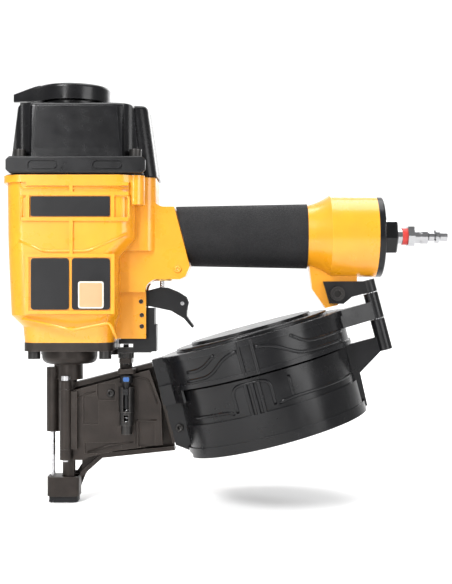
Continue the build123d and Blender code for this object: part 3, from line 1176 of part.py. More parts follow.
with BuildPart() as cover_hinge_pin:
    with BuildSketch(level(KNUCKLE_LOW - 9.5)):
        with Locations((HINGE_U, COVER_HINGE_Y)):
            Circle(COVER_PIN)
    extrude(amount=KNUCKLE_TOP - KNUCKLE_LOW + 9.6)
save(cover_hinge_pin, "cover_hinge_pin")

with BuildPart() as centre_post:
    with BuildSketch(level(0.1)):
        Circle(POST_RADIUS - 2)
    extrude(amount=36)
    with BuildSketch(level(-2.4)):
        Circle(2)
    extrude(amount=4)
    with BuildSketch(level(-3.8)):
        Circle(4)
    extrude(amount=1.4)
save(centre_post, "centre_post")

with BuildPart() as nail_platform:
    with BuildSketch(level(5)):
        Circle(PLATFORM_RADIUS)
        with PolarLocations(34, 6):
            Circle(8, mode=Mode.SUBTRACT)
    extrude(amount=3)
    with BuildSketch(level(5)):
        Circle(POST_RADIUS + 3)
    extrude(amount=38)
    with BuildSketch(level(4)):
        Circle(POST_RADIUS - 2 + RUN)
    extrude(amount=50, mode=Mode.SUBTRACT)
save(nail_platform, "nail_platform")

# ================================================================ nail feed
FEED_Z = 62.0
FEED_WALL = CHANNEL_BACK + SEAT
FEED_Y = FEED_WALL + 8.5
with BuildPart() as feed_cylinder:
    with BuildSketch(side_at(FEED_WALL)):
        with Locations((56, FEED_Z)):
            RectangleRounded(20, 20, 3)
    extrude(amount=-17)
    with Locations((53, FEED_Y, FEED_Z)):
        Cylinder(6 + RUN, 22, rotation=(0, 90, 0), mode=Mode.SUBTRACT)
save(feed_cylinder, "feed_cylinder")

with BuildPart() as feed_piston:
    with Locations((55, FEED_Y, FEED_Z)):
        Cylinder(6, 6, rotation=(0, 90, 0))
    with Locations((42, FEED_Y - 1.5, FEED_Z)):
        Box(22, 5, 6)
    with Locations((34.5, FEED_Y - 1.5, FEED_Z)):
        Cylinder(1.5, 20, mode=Mode.SUBTRACT)
    with Locations((35.2, FEED_Y - 1.5, FEED_Z)):
        Box(8, 8, 2.8, mode=Mode.SUBTRACT)
save(feed_piston, "feed_piston")

with BuildPart() as feed_pawl:
    with BuildSketch(Plane.XY.offset(FEED_Z - 1.1)):
        with Locations((34.5, FEED_Y - 1.5)):
            Circle(2.5)
        with BuildLine():
            Polyline((32.2, FEED_Y - 1), (32.2, 7.5), (34.6, 4.6), (36.6, 7.5), (36.8, FEED_Y - 1),
                     (32.2, FEED_Y - 1))
        make_face()
    extrude(amount=2.2)
    with Locations((34.5, FEED_Y - 1.5, FEED_Z)):
        Cylinder(1.5 + RUN, 20, mode=Mode.SUBTRACT)
save(feed_pawl, "feed_pawl")

with BuildPart() as feed_pawl_pin:
    with Locations((34.5, FEED_Y - 1.5, FEED_Z)):
        Cylinder(1.5, 5.8)
save(feed_pawl_pin, "feed_pawl_pin")

feed_spring = spring(4.2, 0.5, 58.1, 63.9, 3, Plane(origin=(0, FEED_Y, FEED_Z), x_dir=(0, 1, 0),
                                                    z_dir=(1, 0, 0)))
save(feed_spring, "feed_spring")

# ================================================================ plates on the sides
with BuildPart() as name_plates:
    with Locations(*[(6.2, side * (FACE_Y + 0.55), 208.5) for side in (-1, 1)]):
        Box(54, 0.8, 13.5)
    fillet(name_plates.edges().filter_by(Axis.Y), 1.2)
save(name_plates, "name_plates")

with BuildPart() as label_plates:
    with Locations(*[(x, side * (FACE_Y + RIB - 0.5), PANEL_Z) for side in (-1, 1) for x in (-7.6, 20.4)]):
        Box(26, 0.8, 35)
    fillet(label_plates.edges().filter_by(Axis.Y), 2)
save(label_plates, "label_plates")
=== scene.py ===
"""The looks of a pneumatic coil nailer: finishes for every frame part, and cast, moulded and machined detail.

Pieces are given in millimetres in the row frame, and become metres when their meshes are made.
"""
import bpy
import bmesh
import math
from mathutils import Matrix, Vector


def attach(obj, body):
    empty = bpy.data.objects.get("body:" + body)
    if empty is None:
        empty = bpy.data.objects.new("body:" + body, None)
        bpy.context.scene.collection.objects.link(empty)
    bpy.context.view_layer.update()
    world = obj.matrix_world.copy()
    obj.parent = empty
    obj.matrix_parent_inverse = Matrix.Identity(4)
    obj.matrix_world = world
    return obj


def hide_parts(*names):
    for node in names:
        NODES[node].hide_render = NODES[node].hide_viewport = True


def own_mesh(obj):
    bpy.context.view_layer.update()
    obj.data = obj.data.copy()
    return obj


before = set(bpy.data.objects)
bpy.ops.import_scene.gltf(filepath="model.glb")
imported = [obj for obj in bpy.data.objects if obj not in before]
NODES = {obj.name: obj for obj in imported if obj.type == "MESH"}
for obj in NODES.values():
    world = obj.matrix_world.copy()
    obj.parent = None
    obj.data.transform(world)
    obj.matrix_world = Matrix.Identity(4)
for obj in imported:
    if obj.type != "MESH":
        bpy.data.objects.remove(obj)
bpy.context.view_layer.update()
MM = 0.001


# ------------------------------------------------------------------ materials
NOISE_ROUGHNESS = 0.55
BEVEL_SAMPLES = 4
EDGE_HIGHLIGHT_RADIUS = 0.0006  # metres over which an edge gets the painted highlight
EDGE_HIGHLIGHT_LOW, EDGE_HIGHLIGHT_HIGH = 0.80, 0.97
GRAIN_STRENGTH = 0.35
COAT_ROUGHNESS = 0.12
SMUDGE_SCALE = 2.2  # scale of the roughness noise, over the colour noise's
SMUDGE_LOW, SMUDGE_HIGH = 0.3, 0.7
EDGE_HIGHLIGHT_DIM = 0.8  # the darker tint of the painted edge highlight, over the lighter one
PEBBLE_SCALE = 1150.0
PEBBLE_DEPTH = 0.0005
PEBBLE_STRENGTH = 0.7
GRIP_MOTTLING = 60.0


def material(name):
    """A new node material, with its node tree and its principled shader."""
    mat = bpy.data.materials.new(name)
    mat.use_nodes = True
    tree = mat.node_tree
    return mat, tree, tree.nodes["Principled BSDF"]


def noise(tree, scale, vector, detail=6.0):
    """Cloudy noise at the given scale."""
    n = tree.nodes.new("ShaderNodeTexNoise")
    n.inputs["Scale"].default_value = scale
    n.inputs["Detail"].default_value = detail
    n.inputs["Roughness"].default_value = NOISE_ROUGHNESS
    tree.links.new(vector, n.inputs["Vector"])
    return n


def position(tree):
    """Object coordinates."""
    return tree.nodes.new("ShaderNodeTexCoord").outputs["Object"]


def ramp(tree, source, stops):
    """A colour ramp from (position, colour) stops."""
    r = tree.nodes.new("ShaderNodeValToRGB")
    while len(r.color_ramp.elements) < len(stops):
        r.color_ramp.elements.new(0.5)
    for element, (pos, color) in zip(r.color_ramp.elements, stops):
        element.position = pos
        element.color = (*color, 1.0)
    tree.links.new(source, r.inputs["Fac"])
    return r


def value_range(tree, source, from_low, from_high, low, high):
    """A value carried from one range to another."""
    m = tree.nodes.new("ShaderNodeMapRange")
    for key, v in (("From Min", from_low), ("From Max", from_high), ("To Min", low), ("To Max", high)):
        m.inputs[key].default_value = v
    tree.links.new(source, m.inputs["Value"])
    return m.outputs["Result"]


def bump(tree, height, strength, distance):
    """The normal of a surface raised by a height."""
    b = tree.nodes.new("ShaderNodeBump")
    b.inputs["Strength"].default_value = strength
    b.inputs["Distance"].default_value = distance
    tree.links.new(height, b.inputs["Height"])
    return b.outputs["Normal"]


def edge_highlight_mask(tree, radius, low, high):
    """White on the edges that get a painted highlight: where the rounded normal leaves the true one."""
    bevel = tree.nodes.new("ShaderNodeBevel")
    bevel.samples = BEVEL_SAMPLES
    bevel.inputs["Radius"].default_value = radius
    geo = tree.nodes.new("ShaderNodeNewGeometry")
    dot = tree.nodes.new("ShaderNodeVectorMath")
    dot.operation = "DOT_PRODUCT"
    tree.links.new(bevel.outputs["Normal"], dot.inputs[0])
    tree.links.new(geo.outputs["Normal"], dot.inputs[1])
    return value_range(tree, dot.outputs["Value"], high, low, 0.0, 1.0)


def finish_of(name, base, other, rough, grain, grain_depth, edge, metallic=0.0, coat=0.0, mottling=40.0,
              spec=0.5, rough_spread=0.08):
    """A finish: mottled base colour, varied roughness, fine grain bump, and lighter edges that are a painted
    highlight.
    """
    mat, tree, shader = material(name)
    where = position(tree)
    cloud = noise(tree, mottling, where)
    colour = ramp(tree, cloud.outputs["Fac"], ((0.3, base), (0.75, other)))
    mix = tree.nodes.new("ShaderNodeMix")
    mix.data_type = "RGBA"
    # Edges are mixed towards a lighter tint: a painted highlight along every edge.
    tree.links.new(edge_highlight_mask(tree, EDGE_HIGHLIGHT_RADIUS, EDGE_HIGHLIGHT_LOW, EDGE_HIGHLIGHT_HIGH), mix.inputs["Factor"])
    tree.links.new(colour.outputs["Color"], mix.inputs["A"])
    tint = ramp(tree, cloud.outputs["Fac"], ((0.2, edge), (0.9, tuple(EDGE_HIGHLIGHT_DIM * c for c in edge))))
    tree.links.new(tint.outputs["Color"], mix.inputs["B"])
    tree.links.new(mix.outputs["Result"], shader.inputs["Base Color"])
    smudge = noise(tree, mottling * SMUDGE_SCALE, where)
    varied = value_range(tree, smudge.outputs["Fac"], SMUDGE_LOW, SMUDGE_HIGH,
                         rough - rough_spread, rough + rough_spread)
    tree.links.new(varied, shader.inputs["Roughness"])
    fine = noise(tree, grain, where, detail=3.0)
    tree.links.new(bump(tree, fine.outputs["Fac"], GRAIN_STRENGTH, grain_depth), shader.inputs["Normal"])
    shader.inputs["Metallic"].default_value = metallic
    shader.inputs["Coat Weight"].default_value = coat
    shader.inputs["Coat Roughness"].default_value = COAT_ROUGHNESS
    shader.inputs["Specular IOR Level"].default_value = spec
    return mat


def grip_rubber():
    """Rubber with a fine pebbled texture."""
    mat, tree, shader = material("grip_rubber")
    where = position(tree)
    cells = tree.nodes.new("ShaderNodeTexVoronoi")
    cells.inputs["Scale"].default_value = PEBBLE_SCALE
    tree.links.new(where, cells.inputs["Vector"])
    cloud = noise(tree, GRIP_MOTTLING, where)
    colour = ramp(tree, cloud.outputs["Fac"], ((0.3, (0.006, 0.006, 0.007)), (0.75, (0.012, 0.012, 0.013))))
    tree.links.new(colour.outputs["Color"], shader.inputs["Base Color"])
    varied = value_range(tree, cells.outputs["Distance"], 0.0, 0.6, 0.5, 0.8)
    tree.links.new(varied, shader.inputs["Roughness"])
    tree.links.new(bump(tree, cells.outputs["Distance"], PEBBLE_STRENGTH, PEBBLE_DEPTH), shader.inputs["Normal"])
    shader.inputs["Specular IOR Level"].default_value = 0.3
    return mat


# Each finish: name, two base colours, roughness, grain scale and depth in metres, then edge colour, a painted
# highlight.
YELLOW = finish_of("yellow_paint", (0.66, 0.262, 0.008), (0.74, 0.305, 0.011),
    0.30, 1400.0, 0.00006, edge=(0.84, 0.40, 0.03), coat=0.35, rough_spread=0.05)
GLOSS = finish_of("black_gloss", (0.0035, 0.0035, 0.004), (0.007, 0.007, 0.008),
    0.24, 1800.0, 0.00003, edge=(0.020, 0.020, 0.022), rough_spread=0.06, spec=0.28)
SATIN = finish_of("black_satin", (0.004, 0.004, 0.0045), (0.009, 0.009, 0.010),
    0.38, 1500.0, 0.00006, edge=(0.022, 0.022, 0.024), spec=0.28)
RUBBER = finish_of("black_rubber", (0.006, 0.006, 0.007), (0.012, 0.012, 0.013),
    0.6, 1600.0, 0.00012, edge=(0.03, 0.03, 0.032), spec=0.25)
SATIN_GUARD = finish_of("guard_plastic", (0.004, 0.004, 0.0045), (0.008, 0.008, 0.009),
    0.34, 1600.0, 0.00006, edge=(0.022, 0.022, 0.024), spec=0.28)
GRIP = grip_rubber()
CASTING = finish_of("dark_casting", (0.020, 0.016, 0.014), (0.038, 0.031, 0.027),
    0.42, 900.0, 0.00012, edge=(0.10, 0.085, 0.075), metallic=0.45, mottling=70.0, spec=0.3)
DARK_STEEL = finish_of("dark_steel", (0.020, 0.019, 0.019), (0.042, 0.040, 0.038),
    0.36, 1200.0, 0.00006, edge=(0.13, 0.12, 0.115), metallic=0.7)
STEEL = finish_of("bright_steel", (0.42, 0.42, 0.43), (0.58, 0.58, 0.59),
    0.28, 1200.0, 0.00004, edge=(0.8, 0.8, 0.8), metallic=1.0)
ALLOY = finish_of("aluminium", (0.56, 0.57, 0.58), (0.68, 0.69, 0.70),
    0.34, 1000.0, 0.00005, edge=(0.85, 0.85, 0.86), metallic=1.0)
CHROME = finish_of("chrome_plate", (0.33, 0.33, 0.34), (0.42, 0.42, 0.43),
    0.14, 900.0, 0.00002, edge=(0.6, 0.6, 0.6), metallic=1.0, rough_spread=0.04)
BRASS = finish_of("brass", (0.55, 0.38, 0.12), (0.66, 0.46, 0.17),
    0.3, 900.0, 0.00005, edge=(0.8, 0.6, 0.3), metallic=1.0)
BLUE = finish_of("blue_plastic", (0.015, 0.07, 0.24), (0.03, 0.11, 0.32),
    0.4, 1200.0, 0.00005, edge=(0.08, 0.2, 0.45))
RED = finish_of("red_sealant", (0.42, 0.012, 0.012), (0.55, 0.03, 0.02),
    0.5, 2500.0, 0.0003, edge=(0.6, 0.1, 0.08))
GREY = finish_of("grey_plastic", (0.12, 0.12, 0.12), (0.18, 0.18, 0.18),
    0.5, 1200.0, 0.00006, edge=(0.25, 0.25, 0.25))
TAN = finish_of("tan_badge", (0.46, 0.27, 0.13), (0.52, 0.32, 0.17),
    0.4, 900.0, 0.00003, edge=(0.6, 0.45, 0.3))
CREAM = finish_of("cream_print", (0.62, 0.58, 0.50), (0.70, 0.66, 0.58),
    0.45, 900.0, 0.00002, edge=(0.75, 0.72, 0.66))

LOOKS = {
    YELLOW: ["housing"],
    GLOSS: ["cylinder_cap", "exhaust_deflector", "magazine_cover", "canister", "rear_cap"],
    SATIN: ["trigger", "trip_arm_guide", "door_latch", "nail_platform", "name_plates", "label_plates", "bumper",
            "centre_post", "magazine_bracket"],
    SATIN_GUARD: ["side_guards"],
    RUBBER: ["cap_gasket", "nose_pad", "rear_cap_ring"],
    GRIP: ["grip_sleeve"],
    CASTING: ["nose_casting", "feed_door", "contact_tip", "contact_arm", "feed_cylinder"],
    DARK_STEEL: ["latch_barrel", "cap_bolts", "nose_bolts", "bracket_bolt", "upper_trip_arm", "arm_screw",
                 "depth_wheel", "deflector_screw", "depth_screw"],
    STEEL: ["door_hinge_pin", "trip_rod", "trip_spring", "trigger_lever", "trigger_lever_pin",
            "trigger_pivot_pin", "guide_pins", "trigger_spring", "valve_stem", "valve_spring", "latch_spring",
            "driver_blade", "head_valve_spring", "cover_hinge_pin", "feed_spring", "feed_pawl", "feed_pawl_pin"],
    ALLOY: ["cylinder_sleeve", "drive_piston", "feed_piston", "head_valve"],
    BRASS: ["valve_body", "valve_retainer"],
    GREY: ["piston_ring"],
    CHROME: ["air_plug"],
    RED: ["thread_seal"],
}
BEVELS = {"housing": 1.1, "cylinder_cap": 0.9, "exhaust_deflector": 0.5, "side_guards": 0.6, "magazine_cover": 0.5,
          "canister": 0.5, "nose_casting": 0.5, "feed_door": 0.6, "trigger": 0.45, "contact_tip": 0.5,
          "rear_cap": 0.4, "grip_sleeve": 0.6, "latch_barrel": 0.3, "trip_arm_guide": 0.5, "magazine_bracket": 0.5}


CREASE_ANGLE = 32  # degrees, above which an edge is rounded
PLAIN_BEVEL = 0.2


def soften(obj, width):
    """Rounds an object's edges and shades it smooth."""
    mod = obj.modifiers.new("edges", "BEVEL")
    mod.width = width * MM
    mod.segments = 2
    mod.limit_method = "ANGLE"
    mod.angle_limit = math.radians(CREASE_ANGLE)
    mod.harden_normals = False
    for polygon in obj.data.polygons:
        polygon.use_smooth = True
    mod = obj.modifiers.new("normals", "WEIGHTED_NORMAL")
    mod.keep_sharp = True


for look, names in LOOKS.items():
    for name in names:
        node = NODES[name]
        node.data.materials.clear()
        node.data.materials.append(look)
        soften(node, BEVELS.get(name, PLAIN_BEVEL))


# ------------------------------------------------------------------ extra pieces
def new_piece(name, verts, faces, look, body, smooth=True):
    """A mesh piece that rides on a CAD body. Its vertices are given in millimetres."""
    mesh = bpy.data.meshes.new(name)
    mesh.from_pydata([(x * MM, y * MM, z * MM) for x, y, z in verts], [], faces)
    mesh.validate()
    bm = bmesh.new()
    bm.from_mesh(mesh)
    bmesh.ops.recalc_face_normals(bm, faces=bm.faces)
    bm.to_mesh(mesh)
    bm.free()
    for polygon in mesh.polygons:
        polygon.use_smooth = smooth
    mesh.materials.append(look)
    obj = bpy.data.objects.new(name, mesh)
    bpy.context.scene.collection.objects.link(obj)
    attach(obj, body)
    return obj


CORNER_SHARE = 0.45  # the most of a leg that a rounded corner takes up


def rounded_path(points, radius, steps=5):
    """The polyline's points, with each inner corner replaced by a curve."""
    path = [points[0]]
    for before, corner, after in zip(points, points[1:], points[2:]):
        start = [c + (b - c) * min(CORNER_SHARE, radius / math.dist(b_all, c_all))
                 for c, b, b_all, c_all in zip(corner, before, (before,) * 2, (corner,) * 2)]
        end = [c + (a - c) * min(CORNER_SHARE, radius / math.dist(a_all, c_all))
               for c, a, a_all, c_all in zip(corner, after, (after,) * 2, (corner,) * 2)]
        for i in range(steps + 1):
            t = i / steps
            path.append(tuple((1 - t) ** 2 * s + 2 * t * (1 - t) * c + t * t * e
                              for s, c, e in zip(start, corner, end)))
    path.append(points[-1])
    return path


RIB_SECTION = 7  # points across a half-round rib
RIB_ROUNDNESS = 0.7  # exponent on the section's sine
SIDE_TAPER = 0.25
SIDE_SINK = 0.1


def rib_faces(first, rows):
    """The faces of one half-round rib whose vertices start at first."""
    faces = []
    for i in range(rows - 1):
        for k in range(RIB_SECTION - 1):
            a = first + i * RIB_SECTION + k
            faces.append((a, a + 1, a + RIB_SECTION + 1, a + RIB_SECTION))
    for start in (first, first + (rows - 1) * RIB_SECTION):
        faces.append(tuple(start + k for k in range(RIB_SECTION)))
    return faces


def side_ribs(name, lines, face, width, proud, look=YELLOW, radius=2.5, body="frame",
              sides=(-1, 1)):
    """Half-round ribs that stand on flat side faces, along lines in X and Z."""
    verts, faces = [], []
    for side in sides:
        for line in lines:
            path = rounded_path(line, radius)
            first = len(verts)
            for i, (x, z) in enumerate(path):
                x0, z0 = path[max(i - 1, 0)]
                x1, z1 = path[min(i + 1, len(path) - 1)]
                length = math.hypot(x1 - x0, z1 - z0)
                nx, nz = -(z1 - z0) / length, (x1 - x0) / length
                taper = SIDE_TAPER if i in (0, len(path) - 1) else 1.0
                for k in range(RIB_SECTION):
                    angle = math.pi * k / (RIB_SECTION - 1)
                    across = math.cos(angle) * width / 2
                    out = (math.sin(angle) ** RIB_ROUNDNESS) * proud * taper - SIDE_SINK
                    verts.append((x + nx * across, side * (face + out), z + nz * across))
            faces += rib_faces(first, len(path))
    return new_piece(name, verts, faces, look, body)


# Cast relief on the sides of the case.
SIDE_FACE = 38.0
side_ribs("case_ridges", [
    [(-29, 185), (-12, 178), (18, 178), (45, 190)],
    [(-27, 132), (8, 124), (33, 129), (38, 118)],
    [(-27, 199), (-27, 216), (46, 216), (46, 199), (-27, 199)],
], SIDE_FACE - 0.1, 2.0, 1.0)
side_ribs("upper_ridges", [
    [(-28, 226), (-28, 221), (46, 221)],
], SIDE_FACE, 1.4, 0.8)


PLATE_EDGE = 0.3


def plate_block(name, x, y, z, size, corner, look, body, segments=4):
    """A rounded rectangular plate facing -Y, with its edge rolled over."""
    sx, sy, sz = size
    outline = []
    for cx, cz, start in ((1, 1, 0), (-1, 1, 90), (-1, -1, 180), (1, -1, 270)):
        for i in range(segments + 1):
            a = math.radians(start + 90 * i / segments)
            across = cx * (sx / 2 - corner) + corner * math.cos(a)
            outline.append((across, cz * (sz / 2 - corner) + corner * math.sin(a)))
    verts, faces = [], []
    rings = ((1.0, 0.0), (1.0, sy - PLATE_EDGE), (1 - 2 * PLATE_EDGE / max(sx, sz), sy))
    for scale, out in rings:
        verts += [(x + px * scale, y - out, z + pz * scale) for px, pz in outline]
    n = len(outline)
    for r in range(len(rings) - 1):
        for i in range(n):
            j = (i + 1) % n
            faces.append((r * n + i, r * n + j, (r + 1) * n + j, (r + 1) * n + i))
    faces.append(tuple(range(n)))
    faces.append(tuple((len(rings) - 1) * n + i for i in range(n)))
    return new_piece(name, verts, faces, look, body, smooth=False)


plate_block("badge_border", 20.4, -39.48, 148.0, (17.6, 0.25, 18.6), 1.6, CREAM, "frame")
plate_block("badge_face", 20.4, -39.6, 148.0, (16.0, 0.3, 17.0), 1.3, TAN, "frame")


def disc_piece(name, centre, axis, profile, look, body, segments=32):
    """A turned piece: profile points are (radius, distance along the axis)."""
    turn = Vector(axis).to_track_quat("Z", "Y").to_matrix()
    verts, faces = [], []
    for radius, along in profile:
        for i in range(segments):
            a = 2 * math.pi * i / segments
            p = turn @ Vector((radius * math.cos(a), radius * math.sin(a), along)) + Vector(centre)
            verts.append(tuple(p))
    rows = len(profile)
    for r in range(rows - 1):
        for i in range(segments):
            j = (i + 1) % segments
            faces.append((r * segments + i, r * segments + j, (r + 1) * segments + j, (r + 1) * segments + i))
    faces.append(tuple(range(segments)))
    faces.append(tuple((rows - 1) * segments + i for i in range(segments)))
    return new_piece(name, verts, faces, look, body)


SCREW = [(2.9, 0), (2.9, 1.0), (2.5, 1.5), (1.3, 1.6), (1.2, 0.7), (0.1, 0.7)]
disc_piece("door_screw", (30.4, -8.6, 78.0), (0, -1, 0), SCREW, DARK_STEEL, "door")
disc_piece("channel_screw", (79.6, -9.2, 53.5), (0, -1, 0), SCREW, DARK_STEEL, "frame")
PIN_END = [(1.55, 0), (1.55, 0.5), (1.3, 0.7), (0.8, 0.7), (0.7, 0.2), (0.1, 0.2)]
for i, (x, z) in enumerate(((52.9, 133.6), (52.9, 125.7), (52.4, 143.3))):
    disc_piece(f"pin_end_{i}", (x, -13.2, z), (0, -1, 0), PIN_END, DARK_STEEL, "frame")
ROOT_PIN = [(2.6, 0), (2.6, 0.9), (2.0, 1.3), (1.2, 1.3), (1.1, 0.7), (0.1, 0.7)]
disc_piece("root_pin", (78.6, -18.6, 166.0), (0, -1, 0), ROOT_PIN, YELLOW, "frame")


# Blue insert in the door latch's knob.
plate_block("latch_insert", 42.4, -19.4, 88.6, (4.2, 0.4, 3.2), 0.8, BLUE, "latch")

# Raised edges on the feed door, and ribs on the far wall of the channel.
side_ribs("door_edges", [
    [(7, 45), (7, 76), (20, 79.5)],
    [(14, 36), (30, 41), (47, 43.5)],
    [(36, 86), (50, 89.5), (57, 88), (64, 70)],
    [(48.5, 41.5), (48.5, 59), (63.5, 59)],
], 9.9, 1.5, 0.8, look=CASTING, radius=2.0, body="door", sides=(-1,))
side_ribs("channel_ribs", [
    [(14, 40), (60, 45)], [(16, 74), (24, 60), (24, 40)], [(66, 48), (66, 76)],
], 8.7, 1.8, 1.0, look=CASTING, radius=2.0, sides=(1,))

# The canister's tilted frame, with its origin on the cover's roof.
TILT = math.radians(15.0)
CANISTER_FLOOR = Vector((149.0, 0.0, 54.0))
ROOF_HEIGHT = 71.5  # above the canister's floor
COVER_ROOF = CANISTER_FLOOR + ROOF_HEIGHT * Vector((-math.sin(TILT), 0.0, math.cos(TILT)))
SKIRT_RADIUS = 66.0
CANISTER_RADIUS = 62.5


def on_cover(u, v, w):
    """A point in the tilted frame: along the slope, across it, and above the cover's roof."""
    along = Vector((math.cos(TILT), 0.0, math.sin(TILT)))
    up = Vector((-math.sin(TILT), 0.0, math.cos(TILT)))
    return tuple(COVER_ROOF + u * along + Vector((0.0, v, 0.0)) + w * up)


COVER_SINK = 0.4


def cover_ribs(count, inner, outer, width, height):
    """Radial ribs on the cover's roof, in one piece."""
    verts, faces = [], []
    for i in range(count):
        a = 2 * math.pi * (i + 0.5) / count
        for radius in (inner, outer):
            section = ((-width / 2, -COVER_SINK), (-width / 3, height),
                       (width / 3, height), (width / 2, -COVER_SINK))
            for across, w in section:
                u = radius * math.cos(a) - across * math.sin(a)
                v = radius * math.sin(a) + across * math.cos(a)
                verts.append(on_cover(u, v, w))
        b = 8 * i
        faces += [(b + k, b + k + 1, b + 5 + k, b + 4 + k) for k in range(3)]
        faces += [(b, b + 1, b + 2, b + 3), (b + 4, b + 5, b + 6, b + 7), (b, b + 3, b + 7, b + 4)]
    new_piece("cover_ribs", verts, faces, GLOSS, "cover", smooth=False)


cover_ribs(count=12, inner=12.0, outer=43.0, width=2.2, height=1.5)


def neck_strips(name, strips, look, body):
    """Joint strips across the canister's neck, each with an outline in (along the floor, Y) and two heights."""
    verts, faces = [], []
    for outline, low, high in strips:
        first, n = len(verts), len(outline)
        for w in (low, high):
            verts += [on_cover(u, y, w - ROOF_HEIGHT) for u, y in outline]
        faces += [(first + i, first + (i + 1) % n, first + n + (i + 1) % n, first + n + i) for i in range(n)]
        faces += [tuple(first + i for i in range(n)), tuple(first + n + i for i in range(n))]
    return new_piece(name, verts, faces, look, body, smooth=False)


neck_strips("neck_joint", [
    ([(-75, 3.9), (-75, 8.7), (-76.5, 8.9), (-76.5, 9.5), (-71.5, 9.5), (-71.5, 8.9), (-73, 8.7), (-73, 3.9)],
     8, 62),
    ([(-75, -4.4), (-75, -8.6), (-74.6, -9.0), (-73.2, -9.0), (-73, -8.6), (-73, -4.4)], 8, 43),
], CASTING, "frame")


RIM_CORNER = 7.0
RIM_STEP = 2.5
RIM_TAPER = 0.2
RIM_SINK = 0.25


def rim_ribs(name, lines, radius, width, proud, look, body, steps=10):
    """Half-round ribs round the canister, along lines of (angle from the rear, height above its floor)."""
    verts, faces = [], []
    for line in lines:
        points = rounded_path([(math.radians(a) * radius, w) for a, w in line], RIM_CORNER, steps)
        path = []
        for (s0, w0), (s1, w1) in zip(points, points[1:]):
            count = max(1, int(math.dist((s0, w0), (s1, w1)) / RIM_STEP))
            path += [(s0 + (s1 - s0) * i / count, w0 + (w1 - w0) * i / count) for i in range(count)]
        path.append(points[-1])
        first = len(verts)
        for i, (arc, w) in enumerate(path):
            (s0, w0), (s1, w1) = path[max(i - 1, 0)], path[min(i + 1, len(path) - 1)]
            length = math.hypot(s1 - s0, w1 - w0)
            ns, nw = -(w1 - w0) / length, (s1 - s0) / length
            taper = RIM_TAPER if i in (0, len(path) - 1) else 1.0
            for k in range(RIB_SECTION):
                turn = math.pi * k / (RIB_SECTION - 1)
                across = math.cos(turn) * width / 2
                out = radius + (math.sin(turn) ** RIB_ROUNDNESS) * proud * taper - RIM_SINK
                a = (arc + ns * across) / radius
                verts.append(on_cover(out * math.cos(a), out * math.sin(a), w + nw * across - ROOF_HEIGHT))
        faces += rib_faces(first, len(path))
    return new_piece(name, verts, faces, look, body)


rim_ribs("cover_crease", [
    [(-142, 50), (-122, 50.5), (-110, 61), (-101, 63)],
    [(-93, 63), (-82, 61), (-66, 50.5), (-30, 50)],
    [(-140, 56), (-126, 56.5), (-116, 64)],
    [(-70, 64), (-60, 56.5), (-24, 56)],
], SKIRT_RADIUS, 2.6, 1.2, GLOSS, "cover")
rim_ribs("canister_recess", [
    [(-112, 22), (-112, 40), (-88, 40), (-88, 22)],
    [(-150, 24), (-118, 24), (-114, 22)],
    [(-86, 22), (-80, 24), (-20, 24)],
    [(-76, 24), (-76, 39)],
], CANISTER_RADIUS, 2.4, 1.1, GLOSS, "frame")
rim_ribs("canister_hoops", [
    [(20, 10), (80, 10), (150, 10)],
    [(20, 34), (80, 34), (150, 34)],
    [(40, 10), (40, 34)], [(80, 10), (80, 34)], [(120, 10), (120, 34)],
], CANISTER_RADIUS, 2.4, 1.1, GLOSS, "frame")


# ------------------------------------------------------------------ springs
# These stand in place of the rigid CAD coils.
COIL_AROUND = 8
COIL_PER_TURN = 20


def coil_spring(node, body, centre, radius, wire, low, high, turns):
    """An upright coil between two heights."""
    verts, faces = [], []
    around = COIL_AROUND
    count = int(turns * COIL_PER_TURN)
    rise = (high - low - 2 * wire) / count
    for i in range(count + 1):
        a = 2 * math.pi * i / COIL_PER_TURN
        z = low + wire + rise * i
        for k in range(around):
            b = 2 * math.pi * k / around
            r = radius + wire * math.cos(b)
            verts.append((centre[0] + r * math.cos(a), centre[1] + r * math.sin(a), z + wire * math.sin(b)))
    for i in range(count):
        for k in range(around):
            a, b = i * around + k, i * around + (k + 1) % around
            faces.append((a, b, b + around, a + around))
    faces += [tuple(range(around)), tuple(count * around + k for k in range(around))]
    obj = new_piece(f"{node}_coil", verts, faces, STEEL, body)
    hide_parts(node)
    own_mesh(obj)


coil_spring("trip_spring", "frame", centre=(-12, 0), radius=2.4, wire=0.45,
            low=52.5, high=93.9, turns=12)
coil_spring("valve_spring", "frame", centre=(66.5, 0), radius=2.9, wire=0.4,
            low=165.9, high=179.9, turns=5)
coil_spring("latch_spring", "door", centre=(42.4, -15), radius=2.3, wire=0.45,
            low=51.2, high=67.8, turns=6)
coil_spring("head_valve_spring", "frame", centre=(0, 0), radius=26, wire=1.0,
            low=236.1, high=251.9, turns=2.5)

# ------------------------------------------------------------------ camera, floor and lights
CAMERA_DISTANCE = 0.721
CAMERA_X = 0.1125
CAMERA_HEIGHT = 0.150
LENS = 61.65
SENSOR = 36.0
camera_data = bpy.data.cameras.new("camera")
camera_data.lens = LENS
camera_data.sensor_width = SENSOR
camera = bpy.data.objects.new("camera", camera_data)
camera.location = (CAMERA_X, -CAMERA_DISTANCE, CAMERA_HEIGHT)
camera.rotation_euler = (math.radians(90), 0, 0)
bpy.context.scene.collection.objects.link(camera)
bpy.context.scene.camera = camera

FLOOR_DROP = 0.0005  # keeps the floor just under the lowest face
FLOOR_FRONT = -3.0
FLOOR_HALF = 4.0
BEND_START = 0.6
BEND_RADIUS = 0.8
BEND_STEPS = 12
WALL_TOP = 4.0


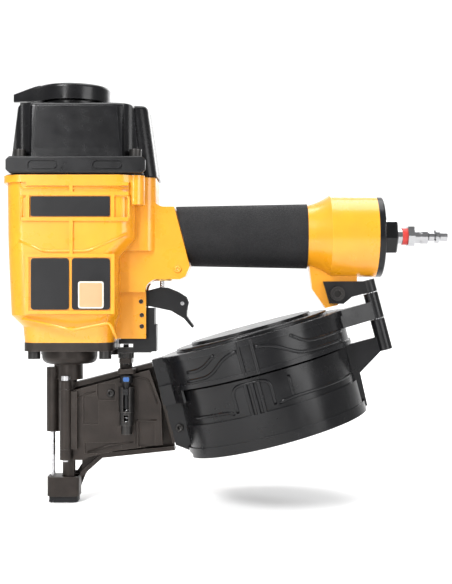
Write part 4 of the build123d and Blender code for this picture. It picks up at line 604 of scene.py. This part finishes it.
def sweep_floor():
    """A white studio sweep: a floor that curves up into a back wall."""
    mesh = bpy.data.meshes.new("studio_sweep")
    profile = [(FLOOR_FRONT, 0.0), (BEND_START, 0.0)]
    for i in range(1, BEND_STEPS + 1):
        a = math.pi / 2 * i / BEND_STEPS
        profile.append((BEND_START + BEND_RADIUS * math.sin(a), BEND_RADIUS - BEND_RADIUS * math.cos(a)))
    profile.append((BEND_START + BEND_RADIUS, WALL_TOP))
    verts = [(x, y, z - FLOOR_DROP) for x in (-FLOOR_HALF, FLOOR_HALF) for y, z in profile]
    count = len(profile)
    faces = [(i, i + 1, count + i + 1, count + i) for i in range(count - 1)]
    mesh.from_pydata(verts, [], faces)
    for polygon in mesh.polygons:
        polygon.use_smooth = True
    obj = bpy.data.objects.new("studio_sweep", mesh)
    bpy.context.scene.collection.objects.link(obj)
    mat, tree, shader = material("studio_white")
    cloud = noise(tree, 3.0, position(tree))
    colour = ramp(tree, cloud.outputs["Fac"], ((0.0, (0.93, 0.93, 0.93)), (1.0, (0.95, 0.95, 0.95))))
    tree.links.new(colour.outputs["Color"], shader.inputs["Base Color"])
    shader.inputs["Roughness"].default_value = 0.9
    shader.inputs["Specular IOR Level"].default_value = 0.0
    mesh.materials.append(mat)


def area_light(name, place, target, size, power, size_y=None):
    """A soft area light at a place, aimed at the target."""
    data = bpy.data.lights.new(name, "AREA")
    data.shape = "RECTANGLE"
    data.size = size
    data.size_y = size_y or size
    data.energy = power
    obj = bpy.data.objects.new(name, data)
    obj.location = place
    obj.rotation_euler = (Vector(target) - Vector(place)).to_track_quat("-Z", "Y").to_euler()
    bpy.context.scene.collection.objects.link(obj)


sweep_floor()
CENTRE = (0.11, 0.0, 0.15)
area_light("key_light", (-0.45, -0.85, 0.95), CENTRE, size=0.45, power=15.0)
area_light("fill_light", (0.95, -0.85, 0.45), CENTRE, size=0.6, power=6.0)
area_light("top_light", (0.1, 0.1, 1.3), CENTRE, size=0.9, power=12.0)
area_light("strip_light", (-0.25, -0.75, 0.30), (0.10, 0.0, 0.12), size=0.06, power=2.2, size_y=0.7)
area_light("rim_light", (0.5, 0.75, 0.6), CENTRE, size=0.6, power=6.0)

WORLD_STRENGTH = 0.44
world = bpy.data.worlds.new("studio")
bpy.context.scene.world = world
world.use_nodes = True
world.node_tree.nodes["Background"].inputs["Color"].default_value = (1.0, 1.0, 1.0, 1.0)
world.node_tree.nodes["Background"].inputs["Strength"].default_value = WORLD_STRENGTH
bpy.context.scene.view_settings.view_transform = "Standard"
